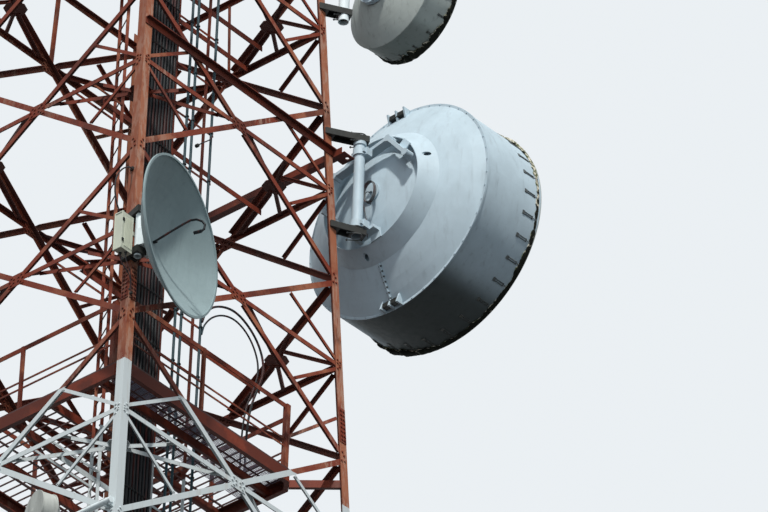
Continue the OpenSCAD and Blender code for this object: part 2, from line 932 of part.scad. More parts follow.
module large_pipe_clamps() {
    color(dish_grey)
        for (rise = clamp_rise)
            translate([drum_pipe_at[0], drum_pipe_at[1], drum_z + rise - clamp_h / 2])
                rotate([0, 0, -drum_turn])
                    pipe_clamp(drum_reach + frame_back - fit_gap, clamp_w, clamp_h);
}

pipe_wall = 8;
pipe_low = drum_z - 970;
pipe_high = drum_z + 900;

collar_h = 60;
collar_t = 18;

module large_mount_pipe() {
    color(white)
    translate([drum_pipe_at[0], drum_pipe_at[1], pipe_low])
        difference() {
            union() {
                cylinder(d = pipe_d, h = pipe_high - pipe_low);
                translate([0, 0, pipe_high - pipe_low - 3 * collar_h])
                    cylinder(d = pipe_d + 2 * collar_t, h = collar_h);
            }
            translate([0, 0, -1])
                cylinder(d = pipe_d - 2 * pipe_wall, h = pipe_high - pipe_low - 2 * pipe_wall);
        }
}

arm_h = 110;
arm_side_w = 90;
arm_skin = 14;

// Channel arm from a leg's outer faces to a pipe, open below
module leg_arm(corner, pipe_at, z, over, d) {
    heel = [half(z), half(z)];
    turned = [cos(90 * corner) * pipe_at[0] + sin(90 * corner) * pipe_at[1],
              cos(90 * corner) * pipe_at[1] - sin(90 * corner) * pipe_at[0]];
    way = turned - heel;
    rotate([0, 0, 90 * corner])
        difference() {
            translate([heel[0], heel[1], z - arm_h / 2])
                rotate([0, 0, heading([0, 0], way)])
                    difference() {
                        translate([-leg_w * 0.8, -arm_side_w, 0])
                            cube([norm(way) + leg_w * 0.8 + over, 2 * arm_side_w, arm_h]);
                        translate([3 * arm_skin, -arm_side_w + arm_skin, -1])
                            cube([norm(way) - d / 2 - 5 * arm_skin, 2 * (arm_side_w - arm_skin), arm_h - arm_skin]);
                    }
            inside_leg(0);
            translate([turned[0], turned[1], z - arm_h])
                cylinder(d = d + 2 * fit_gap, h = 2 * arm_h);
        }
}

module large_mount_brackets() {
    color(orange)
    for (z = [pipe_low + 60, pipe_high - 60])
        leg_arm(0, drum_pipe_at, z, 125, pipe_d);
}

// Upper drum dish

upper_z = crossing(5) + upper_rise;
upper_pipe_at = [half(crossing(5)) + 130, half(crossing(5)) + 233];
upper_turn = 6.5;
upper_reach = 977;
upper_r = upper_d / 2;
upper_low = crossing(5) + 280;
upper_high = upper_z + 700;

module at_upper_dish() {
    translate([upper_pipe_at[0], upper_pipe_at[1], upper_z])
        facing_north(upper_turn)
            translate([0, 0, upper_reach])
                children();
}

module upper_reflector() {
    color(dish_grey)
    at_upper_dish()
        bowl_shell(upper_r - 4, upper_depth, shell_t, 80);
}

module upper_shroud() {
    color(dish_grey)
    at_upper_dish()
        translate([0, 0, fit_gap])
            drum_shell(upper_r - 12, upper_len, shell_t);
}

module upper_radome() {
    color([0.62, 0.64, 0.60])
    at_upper_dish()
        translate([0, 0, upper_len + 2 * fit_gap])
            drum_radome(upper_r, 25);
}

upper_ring_r = 330;
upper_ring_t = 60;
upper_rail_rise = 200;
upper_rail_w = 60;
upper_clamp_h = 100;
upper_back = -upper_depth - shell_t - upper_ring_t;
upper_ring_in = upper_ring_r - 2 * shell_t - upper_rail_w;
upper_seat = bowl(upper_ring_in, upper_r - 4, upper_depth) - shell_t - fit_gap;

// Ring behind the reflector on two rails that run back to clamps on the pipe
module upper_mount_frame() {
    color(dish_grey)
    union() {
        at_upper_dish() {
            translate([0, 0, upper_back])
                difference() {
                    cylinder(r = upper_ring_r, h = upper_seat - upper_back);
                    translate([0, 0, -1])
                        cylinder(r = upper_ring_in, h = 3 * upper_ring_t);
                }
            for (side = [-1, 1])
                translate([side * upper_rail_rise / 2 - upper_rail_w / 2, -upper_rail_rise - upper_rail_w, upper_back - upper_rail_w])
                    cube([upper_rail_w, 2 * (upper_rail_rise + upper_rail_w), upper_rail_w + 1]);
            for (side = [-1, 1], rise = [-1, 1])
                translate([side * upper_rail_rise / 2 - upper_rail_w / 2,
                           rise * upper_rail_rise - upper_rail_w / 2, -upper_reach + pipe_d / 2 + clamp_t])
                    cube([upper_rail_w, upper_rail_w, upper_reach + upper_back - pipe_d / 2 - clamp_t - 1]);
        }
        for (rise = [-1, 1])
            translate([upper_pipe_at[0], upper_pipe_at[1], upper_z + rise * upper_rail_rise - upper_clamp_h / 2])
                rotate([0, 0, -upper_turn])
                    pipe_clamp(pipe_d / 2 + 2 * clamp_t, clamp_w, upper_clamp_h);
    }
}

module upper_mount_pipe() {
    color(white)
    translate([upper_pipe_at[0], upper_pipe_at[1], upper_low])
        difference() {
            cylinder(d = pipe_d, h = upper_high - upper_low);
            translate([0, 0, -1])
                cylinder(d = pipe_d - 2 * pipe_wall, h = upper_high - upper_low - 2 * pipe_wall);
        }
}

module upper_mount_brackets() {
    color(orange)
        for (z = [upper_low + 160, mast_h + 60])
            leg_arm(0, upper_pipe_at, z, 115, pipe_d);
}

// Open dish on the southeast leg

open_z = crossing(3) - 450;
open_r = open_d / 2;
open_hub_r = 150;
open_rim = 30;
hook_d = 34;
open_hole_r = hook_d * 0.7 + fit_gap;
open_at = [half(open_z) + 710, -half(open_z) + 260];

module at_open_dish() {
    translate([open_at[0], open_at[1], open_z])
        facing_north(90 - open_turn)
            children();
}

module open_reflector() {
    color(dish_grey)
    at_open_dish()
        union() {
            bowl_shell(open_r - open_rim, open_depth, shell_t, open_hole_r);
            translate([0, 0, -open_rim / 3])
                difference() {
                    cylinder(r = open_r, h = open_rim, $fn = 72);
                    translate([0, 0, -1])
                        cylinder(r = open_r - open_rim - 4, h = open_rim + 2, $fn = 72);
                }
            translate([0, 0, -open_depth - 2 * open_rim / 3])
                difference() {
                    cylinder(r = open_hub_r, h = open_rim - shell_t);
                    translate([0, 0, -1])
                        cylinder(r = open_hole_r, h = open_rim);
                }
        }
}

// Hooked waveguide from the dish's hub to the feed, which looks back at the bowl
hook_path = [[60, 25], [300, 128], [490, 205], [590, 235], [684, 225], [775, 165], [820, 94],
             [812, 20], [770, -8]];
feed_len = 120;
feed_d = 52;

module open_feed() {
    last = len(hook_path) - 1;
    color(dark)
    at_open_dish()
        translate([0, 0, -open_depth])
            mirror([0, 1, 0])
                union() {
                    translate([0, 0, -open_rim])
                        cylinder(d = hook_d * 1.4, h = hook_path[0][0] + open_rim, $fn = 24);
                    bar_round([0, 0, 0], hook_point(0));
                    for (n = [1:last])
                        bar_round(hook_point(n - 1), hook_point(n));
                    translate([0, hook_path[last][1], hook_path[last][0] - feed_len])
                        cylinder(d = feed_d, h = feed_len, $fn = 24);
                }
}

function hook_point(n) = [0, hook_path[n][1], hook_path[n][0]];

// Round bar between two points, with a ball at its start
module bar_round(p, q) {
    way = q - p;
    translate(p) {
        sphere(d = hook_d + 2, $fn = 24);
        rotate([0, acos(way[2] / norm(way)), atan2(way[1], way[0])])
            cylinder(d = hook_d, h = norm(way), $fn = 24);
    }
}

// Pipe beside the southeast leg, with the box that holds the dish and two arms to the leg
open_pipe_d = 114;
open_pipe_at = [half(open_z) + 160, -half(open_z) - 30];
open_pipe_low = open_z - 290;
open_pipe_h = 880;
open_box_w = 370;
open_box_h = 300;
open_box_t = 150;

module open_mount() {
    back = -open_depth - 2 * open_rim / 3 - fit_gap - open_box_t;
    color(white)
    union() {
        translate([open_pipe_at[0], open_pipe_at[1], open_pipe_low])
            difference() {
                cylinder(d = open_pipe_d, h = open_pipe_h);
                translate([0, 0, -1])
                    cylinder(d = open_pipe_d - 2 * pipe_wall, h = open_pipe_h - 2 * pipe_wall);
            }
        difference() {
            at_open_dish()
                translate([-open_hub_r, -open_box_h / 2, back])
                    difference() {
                        cube([open_box_w, open_box_h, open_box_t]);
                        translate([open_hub_r - 70, open_box_h / 2 - 70, open_box_t / 2])
                            cube([140, 140, open_box_t]);
                    }
            translate([open_pipe_at[0], open_pipe_at[1], open_pipe_low])
                cylinder(d = open_pipe_d - 2 * pipe_wall, h = open_pipe_h - 2 * pipe_wall);
        }
    }
}

module open_mount_arms() {
    color(dark)
        for (z = [open_pipe_low + 80, open_pipe_low + open_pipe_h - 80])
            leg_arm(3, open_pipe_at, z, arm_side_w, open_pipe_d);
}

// Radio unit outside the southeast leg's south flange
radio_w = 150;
radio_d = 230;
radio_h = 640;
radio_out = 130;

module radio_box() {
    x = half(open_z) - 10;
    y = -half(open_z) - radio_out - radio_d;
    low = open_z - 290;
    color(cream)
    difference() {
        union() {
            translate([x, y, low])
                cube([radio_w, radio_d, radio_h]);
            for (z = [open_z - 110, open_z + 190])
                translate([x - radio_w / 2, y + radio_d - 1, z])
                    cube([0.6 * radio_w, 1.5 * radio_out, radio_out / 2]);
        }
        inside_leg(3);
    }
}

// Small drum low on the south face, on an arm from the southeast leg

small_r = 300;
small_len = 240;
small_depth = 130;
small_z = level(2) + 160;
small_turn = 200;
small_at = [half(small_z) - 1000, -half(small_z) - 310, small_z];
small_pipe_d = 89;

module at_small_drum() {
    translate(small_at)
        facing_north(small_turn)
            children();
}

module small_drum() {
    color([0.62, 0.64, 0.60])
    at_small_drum()
        rotate_extrude($fn = 48)
            polygon([[0, -small_depth], [small_r * 0.4, -small_depth], [small_r, 0], [small_r + 12, 0],
                     [small_r + 12, 20], [small_r, 20], [small_r, small_len - 20], [small_r + 12, small_len - 20],
                     [small_r + 12, small_len], [0, small_len + 15]]);
}

module small_drum_mount() {
    arm_z = small_z;
    arm_y = -half(arm_z) - small_pipe_d / 2 - 30;
    out = half(arm_z);
    color(white)
    union() {
        difference() {
            union() {
                translate([small_at[0] - 80, arm_y, arm_z])
                    rotate([0, 90, 0])
                        cylinder(d = small_pipe_d, h = out - small_at[0] + 60);
                for (x = [out - leg_w, out - leg_w * 0.45])
                    translate([x, arm_y, arm_z - small_pipe_d * 0.8])
                        cube([30, 2 * small_pipe_d, 1.6 * small_pipe_d]);
            }
            inside_leg(3);
        }
        difference() {
            at_small_drum()
                translate([-70, -70, -small_depth - 160])
                    cube([140, 140, 160 - fit_gap]);
            translate([0, -half(arm_z) + 2, arm_z - 2 * small_r])
                cube([4 * small_r * 4, 4 * small_r, 4 * small_r]);
        }
    }
}

leg_southeast();
leg_northeast();
leg_northwest();
leg_southwest();
base_plates();
leg_splices();
south_bracing_lower();
south_bracing_middle();
south_bracing_upper();
east_bracing_lower();
east_bracing_middle();
east_bracing_upper();
north_bracing_lower();
north_bracing_middle();
north_bracing_upper();
west_bracing_lower();
west_bracing_middle();
west_bracing_upper();
plan_bracing_lower();
plan_bracing_middle();
plan_bracing_upper();
dish_girts();
platform_beams();
platform_deck();
platform_hangers();
platform_rails();
climbing_ladder();
cable_ladder();
feeder_cables();
large_reflector();
large_back_ring();
large_shroud();
large_radome();
large_feed_hub();
large_mount_frame();
large_pipe_clamps();
large_mount_pipe();
large_mount_brackets();
upper_reflector();
upper_shroud();
upper_radome();
upper_mount_pipe();
upper_mount_brackets();
upper_mount_frame();
open_reflector();
open_feed();
open_mount();
open_mount_arms();
radio_box();
small_drum();
small_drum_mount();
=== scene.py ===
"""Looks of a four-legged lattice mast: paint, weathering, painted highlight and shade, bolts, cables, deck
mesh and dish fittings.
"""
import json
import math
import random

import bpy
from bpy.props import FloatProperty, FloatVectorProperty, IntProperty, PointerProperty
from mathutils import Matrix, Vector


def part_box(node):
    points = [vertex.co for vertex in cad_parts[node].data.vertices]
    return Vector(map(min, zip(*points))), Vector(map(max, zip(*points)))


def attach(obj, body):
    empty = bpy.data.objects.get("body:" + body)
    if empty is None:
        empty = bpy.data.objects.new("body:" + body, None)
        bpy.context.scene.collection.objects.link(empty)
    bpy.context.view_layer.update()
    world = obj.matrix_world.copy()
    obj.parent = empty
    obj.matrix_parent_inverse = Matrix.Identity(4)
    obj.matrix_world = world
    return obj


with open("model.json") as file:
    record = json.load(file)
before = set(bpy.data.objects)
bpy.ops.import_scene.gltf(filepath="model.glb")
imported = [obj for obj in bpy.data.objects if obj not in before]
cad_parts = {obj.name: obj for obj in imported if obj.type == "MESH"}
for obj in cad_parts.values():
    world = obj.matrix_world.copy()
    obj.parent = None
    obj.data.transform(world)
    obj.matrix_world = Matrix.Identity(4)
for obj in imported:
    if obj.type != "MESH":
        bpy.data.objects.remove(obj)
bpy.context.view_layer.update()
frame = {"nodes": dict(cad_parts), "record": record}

bl_info = {
    "name": "Lattice mast looks",
    "version": (1, 0, 0),
    "blender": (4, 5, 0),
    "location": "View3D > Sidebar > Mast",
    "description": "Dresses the packed lattice mast with paint, hardware, cables and a studio stage",
    "category": "Object",
}

BODY = "root"


# Sizes and colours


def length(name, description, default):
    return FloatProperty(name=name, description=description, default=default, unit="LENGTH", precision=4)


def colour(name, description, default):
    return FloatVectorProperty(name=name, description=description, default=default, size=3,
                               subtype="COLOR", min=0.0, max=1.0)


class MastSizes(bpy.types.PropertyGroup):
    """Sizes of the mast that the hardware is set out from, and of the hardware."""

    base_w: length("Base width", "Width over the leg heels at ground level", 6.230)
    top_w: length("Top width", "Width over the leg heels at the top of the sixth bay", 3.840)
    foot_h: length("Foot", "Height where the lowest diagonals meet the legs", 0.280)
    leg_t: length("Leg thickness", "Thickness of the legs", 0.014)
    diag_w: length("Diagonal", "Flange width of the diagonals", 0.090)
    girt_w: length("Horizontal", "Flange width of the horizontals", 0.080)
    strut_w: length("Strut", "Flange width of the short struts", 0.055)
    brace_t: length("Bar thickness", "Thickness of the bracing", 0.008)
    bolt_d: length("Bolt", "Diameter of the bracing bolts", 0.020)


class CableSizes(bpy.types.PropertyGroup):
    """Sizes of the feeder run and of the loose leads."""

    plane: length("Plane", "Distance of the feeders east of the middle", 1.100)
    feeder_d: length("Feeder", "Diameter of a feeder", 0.042)
    rung_pitch: length("Rung pitch", "Spacing of the cable ladder's rungs", 0.900)
    lead_d: length("Lead", "Diameter of the thin leads", 0.024)


class DishSizes(bpy.types.PropertyGroup):
    """Sizes of the two drum dishes."""

    radius: length("Radius", "Outer radius of the large drum", 1.850)
    drum_len: length("Drum", "Length of the large drum", 1.190)
    depth: length("Depth", "Depth of the large reflector", 0.600)
    hooks: IntProperty(name="Hooks", description="Number of hooks round the large radome", default=30)
    upper_radius: length("Upper radius", "Outer radius of the upper drum", 0.940)
    upper_len: length("Upper drum", "Length of the upper drum", 0.550)
    upper_hooks: IntProperty(name="Upper hooks", description="Number of hooks round the upper radome",
                             default=18)


class MastColours(bpy.types.PropertyGroup):
    """Colours as they render under the plain studio light."""

    red: colour("Red paint", "Faded red-orange paint", (0.255, 0.041, 0.017))
    # Shown only on the side that faces the key light: chalky paint and painted highlight in one
    lit_faded_red: colour("Faded red", "Chalky red paint on sunlit steel", (0.480, 0.172, 0.088))
    # Shown only on the side that faces the key light: peeling paint and painted highlight in one
    lit_bleached: colour("Bleached", "Bleached and peeling red paint", (0.560, 0.340, 0.250))
    # Also painted shade: the sides turned from the key light take this colour, besides random dark patches
    maroon_and_shade: colour("Maroon", "Red paint darkened with dirt on the sheltered sides", (0.055, 0.012, 0.009))
    white: colour("White paint", "Weathered white paint", (0.760, 0.845, 0.860))
    # Painted shade on the white bands: the sides turned from the key light take this grey
    shaded_white: colour("Shaded white", "Dirty white paint on the sheltered sides", (0.300, 0.350, 0.370))
    rust_wash: colour("Rust wash", "Rusty streaks down the white paint", (0.520, 0.420, 0.340))
    rust: colour("Rust", "Rust on edges and joints", (0.085, 0.026, 0.012))
    # Also painted shade on the faces of the banded paint that turn down
    grime_and_shade: colour("Grime", "Dark dirt in the joints", (0.035, 0.020, 0.016))
    dish: colour("Dish grey", "Light grey paint of the dishes", (0.480, 0.590, 0.650))
    stained: colour("Stained dish", "Older, dirtier paint of the upper drum", (0.480, 0.530, 0.500))
    dull: colour("Dull dish", "Dull paint of the open dish", (0.258, 0.338, 0.348))
    # Used as growth and as painted shade on the faces that turn down
    soot_and_shade: colour("Soot", "Dark growth under the drums", (0.022, 0.024, 0.017))
    radome: colour("Radome", "Weathered coated cloth", (0.440, 0.460, 0.430))
    hem: colour("Hem", "Bare cloth of the radome's hem", (0.560, 0.530, 0.440))
    growth: colour("Growth", "Moss on the hem", (0.085, 0.100, 0.040))
    black_growth: colour("Black growth", "Black dirt on the hem", (0.012, 0.013, 0.010))
    deck: colour("Deck", "Dirty painted steel of the deck's bars", (0.075, 0.036, 0.034))
    # The blue-grey stands in for the sky light seen through the mesh: painted light
    mesh: colour("Mesh", "Blue-grey deck mesh", (0.180, 0.170, 0.230))
    dark_steel: colour("Dark steel", "Dark weathered brackets and fittings", (0.022, 0.024, 0.022))
    sprung_steel: colour("Sprung steel", "Hooks, springs and U-bolts", (0.085, 0.095, 0.095))
    jacket: colour("Jacket", "Black cable jacket", (0.008, 0.010, 0.012))
    grey_jacket: colour("Grey jacket", "Jacket of the coiled lead", (0.100, 0.110, 0.115))
    teal: colour("Blue jacket", "Blue-green cable jacket", (0.024, 0.062, 0.078))
    overspray: colour("Overspray", "Red paint that strayed onto the feeders", (0.060, 0.014, 0.012))
    dust: colour("Dust", "Dust on the cable jackets", (0.200, 0.190, 0.170))
    cream: colour("Cream", "Cream powder coat", (0.540, 0.570, 0.470))
    floor: colour("Floor", "Pale studio floor", (0.620, 0.620, 0.612))
    ground: colour("Ground", "What the floor throws back on the mast", (0.100, 0.100, 0.095))
    backdrop: colour("Backdrop", "Pale background", (0.830, 0.870, 0.900))
    sky: colour("Sky", "Tint of the soft light from all round", (0.860, 0.930, 1.000))


SETTINGS = (("mast_sizes", MastSizes), ("mast_cables", CableSizes), ("mast_dish", DishSizes),
            ("mast_colours", MastColours))


# Set-out of the mast

# Heights of the bays, from the ground up
BAYS = (5.600, 4.400, 3.630, 3.220, 3.210, 2.890)
# Heights where the paint changes from red to white and back to red
PAINT_BREAKS = (6.40, 12.765)
# Places along the east face of the three feeders that stand apart from the run
STRAY_FEEDERS = (-0.060, 0.070, 0.490)
# Play between pieces that lie against each other
PLAY = 0.0005


class Setout:
    """Levels, crossings and face frames of the mast."""

    def __init__(self, s):
        self.s = s
        self.levels = [0.0]
        for bay in BAYS:
            self.levels.append(self.levels[-1] + bay)
        self.top = self.levels[-1]
        self.taper = (s.base_w - s.top_w) / 2 / self.top
        self.lean = math.atan(self.taper)
        self.heel_lean = math.atan(self.taper * math.sqrt(2))

    def half(self, z):
        return self.s.base_w / 2 - self.taper * z

    def low(self, k):
        return max(self.levels[k], self.s.foot_h)

    def crossing(self, k):
        a, b = self.low(k), self.levels[k + 1]
        return a + (b - a) * self.half(a) / (self.half(a) + self.half(b))

    def slope(self, z):
        return z / math.cos(self.lean)

    def at_leg(self, side, z):
        return Vector((side * self.half(z), self.slope(z)))

    def at_middle(self, z):
        return Vector((0.0, self.slope(z)))

    def face(self, side):
        """Frame of one face: x along it, y up its slope, z out of it."""
        return (Matrix.Rotation(math.radians(90 * side), 4, "Z")
                @ Matrix.Translation((0, -self.s.base_w / 2, 0))
                @ Matrix.Rotation(math.radians(90) - self.lean, 4, "X"))

    def leg(self, corner):
        """Frame of one leg: z up the heel, x and y outwards; 0 is northeast."""
        return (Matrix.Rotation(math.radians(90 * corner), 4, "Z")
                @ Matrix.Translation((self.s.base_w / 2, self.s.base_w / 2, 0))
                @ Matrix.Rotation(self.heel_lean, 4, Vector((1, -1, 0)).normalized()))


# Mesh building

BLOCK_FACES = [(3, 2, 1, 0), (4, 5, 6, 7), (0, 1, 5, 4), (1, 2, 6, 5), (2, 3, 7, 6), (3, 0, 4, 7)]


def round_angles(count):
    """Equal angles round a full turn."""
    return [2 * math.pi * n / count for n in range(count)]


def spun(count, place, start=0.0):
    """Frames that set 'count' things round the z axis of 'place', the first one 'start' steps on."""
    return [place @ Matrix.Rotation(2 * math.pi * (n + start) / count, 4, "Z") for n in range(count)]


def standing(at, way):
    """Frame at a point with its z axis along a way."""
    return Matrix.Translation(at) @ way.to_track_quat("Z", "Y").to_matrix().to_4x4()


def loop_faces(rows, sides):
    """Faces of 'rows' rings of 'sides' points each, closed both ways."""
    faces = []
    for m in range(rows):
        here, there = m * sides, (m + 1) % rows * sides
        for n in range(sides):
            beside = (n + 1) % sides
            faces.append((here + n, here + beside, there + beside, there + n))
    return faces


def corners(node):
    """Lowest and highest corner of a CAD node."""
    return [Vector(v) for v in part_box(node)]


class Shape:
    """Gathers vertices and faces of one piece."""

    def __init__(self):
        self.verts = []
        self.faces = []

    def add(self, verts, faces, place=None):
        start = len(self.verts)
        place = place or Matrix.Identity(4)
        self.verts.extend(tuple(place @ Vector(v)) for v in verts)
        self.faces.extend(tuple(start + i for i in face) for face in faces)

    def block(self, low, high, place=None):
        x0, y0, z0 = low
        x1, y1, z1 = high
        verts = [(x0, y0, z0), (x1, y0, z0), (x1, y1, z0), (x0, y1, z0),
                 (x0, y0, z1), (x1, y0, z1), (x1, y1, z1), (x0, y1, z1)]
        self.add(verts, BLOCK_FACES, place)

    def prism(self, radius, low, high, sides, place=None, top_radius=None):
        top_radius = radius if top_radius is None else top_radius
        verts = [(r * math.cos(a), r * math.sin(a), z) for r, z in ((radius, low), (top_radius, high))
                 for a in round_angles(sides)]
        faces = [tuple(range(sides - 1, -1, -1)), tuple(range(sides, 2 * sides))]
        faces += [(n, (n + 1) % sides, sides + (n + 1) % sides, sides + n) for n in range(sides)]
        self.add(verts, faces, place)

    def bolt(self, at, out, d, grip=0.0):
        """Hexagon head on a washer, standing along 'out', with its nut end 'grip' behind."""
        place = standing(at, out)
        self.prism(d * 1.05, 0.0, d * 0.16, 12, place)
        self.prism(d * 0.86, d * 0.16, d * 0.80, 6, place)
        if grip:
            self.prism(d * 0.86, -grip - d * 0.75, -grip, 6, place)
            self.prism(d * 0.46, -grip - d * 1.3, -grip - d * 0.75, 8, place)

    def tube(self, path, radius, sides=8):
        """Round tube through the points of a path, without twist."""
        points = [Vector(p) for p in path]
        ways = [(b - a).normalized() for a, b in zip(points, points[1:])]
        ways = [ways[0]] + [(a + b).normalized() for a, b in zip(ways, ways[1:])] + [ways[-1]]
        side = ways[0].orthogonal().normalized()
        start = len(self.verts)
        for point, way in zip(points, ways):
            side = (side - way * side.dot(way)).normalized()
            other = way.cross(side)
            self.verts += [tuple(point + radius * (side * math.cos(a) + other * math.sin(a)))
                           for a in round_angles(sides)]
        for m in range(len(points) - 1):
            for n in range(sides):
                a, b = start + m * sides + n, start + m * sides + (n + 1) % sides
                self.faces.append((a, b, b + sides, a + sides))
        last = start + (len(points) - 1) * sides
        self.faces.append(tuple(range(start + sides - 1, start - 1, -1)))
        self.faces.append(tuple(range(last, last + sides)))

    def turned(self, outline, sides, place=None):
        """Closed outline of (radius, height) pairs turned round the z axis."""
        verts = [(r * math.cos(a), r * math.sin(a), z) for r, z in outline for a in round_angles(sides)]
        self.add(verts, loop_faces(len(outline), sides), place)

    def mesh(self, name, material):
        """Object of the gathered faces, linked to the scene."""
        mesh = bpy.data.meshes.new(name)
        mesh.from_pydata(self.verts, [], self.faces)
        mesh.validate()
        mesh.update()
        mesh.materials.append(material)
        made = bpy.data.objects.new(name, mesh)
        bpy.context.scene.collection.objects.link(made)
        return made

    def piece(self, name, material, slot=None, smooth=False, bevel=0.0):
        """Piece of the mast with one of the finishes; 'slot' is not used."""
        made = self.mesh(name, MATERIALS[material])
        if smooth:
            made.data.shade_smooth()
        if bevel:
            edge = made.modifiers.new("soft edges", "BEVEL")
            edge.width = bevel
            edge.segments = 2
            edge.limit_method = "ANGLE"
        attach(made, BODY)
        return made


def smooth_path(points, steps=6):
    """Catmull-Rom curve through the points."""
    pts = [Vector(p) for p in points]
    pts = [2 * pts[0] - pts[1]] + pts + [2 * pts[-1] - pts[-2]]
    out = []
    for a, b, c, d in zip(pts, pts[1:], pts[2:], pts[3:]):
        for n in range(steps):
            t = n / steps
            out.append(0.5 * ((2 * b) + (c - a) * t + (2 * a - 5 * b + 4 * c - d) * t * t
                              + (3 * b - a - 3 * c + d) * t ** 3))
    return out + [pts[-2]]


# Materials


# The way towards the key light: faces turned this way get painted highlight, the others painted shade
KEY_LIGHT_WAY = (0.66, -0.35, 0.66)
# Beside the feeder run, jackets are blue-green west of this and black further east
STRAY_EAST = 1.124
# Finishes by name, filled in when the mast is painted
MATERIALS = {}


class Tree:
    """Short names for building a node tree."""

    def __init__(self, tree):
        self.tree = tree

    def new(self, kind, **values):
        node = self.tree.nodes.new(kind)
        for key, value in values.items():
            setattr(node, key, value)
        return node

    def link(self, source, target):
        self.tree.links.new(source, target)

    def feed(self, value, socket):
        """Links another node's output to a socket, or sets a plain value on it."""
        if isinstance(value, bpy.types.NodeSocket):
            self.link(value, socket)
        else:
            socket.default_value = value

    def coordinate(self, vector, axis):
        split = self.new("ShaderNodeSeparateXYZ")
        self.link(vector, split.inputs["Vector"])
        return split.outputs[axis]

    def step(self, source, low, high, out_low=0.0, out_high=1.0, easing="SMOOTHSTEP"):
        node = self.new("ShaderNodeMapRange", interpolation_type=easing)
        for key, value in (("From Min", low), ("From Max", high), ("To Min", out_low), ("To Max", out_high)):
            node.inputs[key].default_value = value
        self.link(source, node.inputs["Value"])
        return node.outputs["Result"]

    def maths(self, operation, a, b):
        node = self.new("ShaderNodeMath", operation=operation)
        for value, socket in zip((a, b), node.inputs):
            self.feed(value, socket)
        return node.outputs["Value"]

    def times(self, a, b):
        return self.maths("MULTIPLY", a, b)

    def rest(self, part):
        """What is left of 1."""
        return self.maths("SUBTRACT", 1.0, part)

    def background_rays(self):
        """1 for the rays that show the pale background: seen straight, mirrored or through something."""
        rays = self.new("ShaderNodeLightPath").outputs
        seen = self.maths("MAXIMUM", rays["Is Camera Ray"], rays["Is Glossy Ray"])
        return self.maths("MAXIMUM", seen, rays["Is Transmission Ray"])


class Finish(Tree):
    """One material's node tree, with patterns laid over the mast's own coordinates."""

    def __init__(self, name):
        old = bpy.data.materials.get(name)
        if old:
            bpy.data.materials.remove(old)
        self.material = bpy.data.materials.new(name)
        self.material.use_nodes = True
        super().__init__(self.material.node_tree)
        self.shader = self.tree.nodes["Principled BSDF"]

    def surface(self, output):
        """Position or Normal of the surface."""
        return self.new("ShaderNodeNewGeometry").outputs[output]

    def noise(self, scale, detail=4.0, rough=0.6, upright=1.0):
        """Noise from 0 to 1, drawn out along the height where 'upright' is below 1."""
        source = self.surface("Position")
        if upright != 1.0:
            mapping = self.new("ShaderNodeMapping")
            mapping.inputs["Scale"].default_value = (1.0, 1.0, upright)
            self.link(source, mapping.inputs["Vector"])
            source = mapping.outputs["Vector"]
        node = self.new("ShaderNodeTexNoise")
        for key, value in (("Scale", scale), ("Detail", detail), ("Roughness", rough)):
            node.inputs[key].default_value = value
        self.link(source, node.inputs["Vector"])
        return node.outputs["Fac"]

    def spots(self, low, high, *noise):
        """Noise cut off between two levels: 0 below them, 1 above them, and smooth between."""
        return self.step(self.noise(*noise), low, high)

    def mix(self, factor, a, b):
        node = self.new("ShaderNodeMix", data_type="RGBA")
        self.feed(factor, node.inputs["Factor"])
        for key, value in (("A", a), ("B", b)):
            socket = [s for s in node.inputs if s.name == key and s.type == "RGBA"][0]
            self.feed(value if isinstance(value, bpy.types.NodeSocket) else (*value, 1.0), socket)
        return [s for s in node.outputs if s.type == "RGBA"][0]

    def facing(self, axis, low, high):
        """How far a surface faces along an axis, as a step from low to high."""
        return self.step(self.coordinate(self.surface("Normal"), axis), low, high)

    def facing_key_light(self, low, high):
        """How far a surface faces the key light, as a step from low to high: the mask of painted highlight
        and painted shade.
        """
        dot = self.new("ShaderNodeVectorMath", operation="DOT_PRODUCT")
        self.link(self.surface("Normal"), dot.inputs[0])
        dot.inputs[1].default_value = KEY_LIGHT_WAY
        return self.step(dot.outputs["Value"], low, high)

    def relief(self, strength, distance, *noise):
        """Roughness of the surface itself, 'distance' deep."""
        bump = self.new("ShaderNodeBump")
        bump.inputs["Strength"].default_value = strength
        bump.inputs["Distance"].default_value = distance
        self.link(self.noise(*noise), bump.inputs["Height"])
        self.link(bump.outputs["Normal"], self.shader.inputs["Normal"])

    def done(self, base, roughness, sheen=0.5):
        """'sheen' is how much a surface mirrors, 0.5 for clean paint and less where it is chalky."""
        self.link(base, self.shader.inputs["Base Color"])
        self.feed(roughness, self.shader.inputs["Roughness"])
        self.shader.inputs["Specular IOR Level"].default_value = sheen
        return self.material


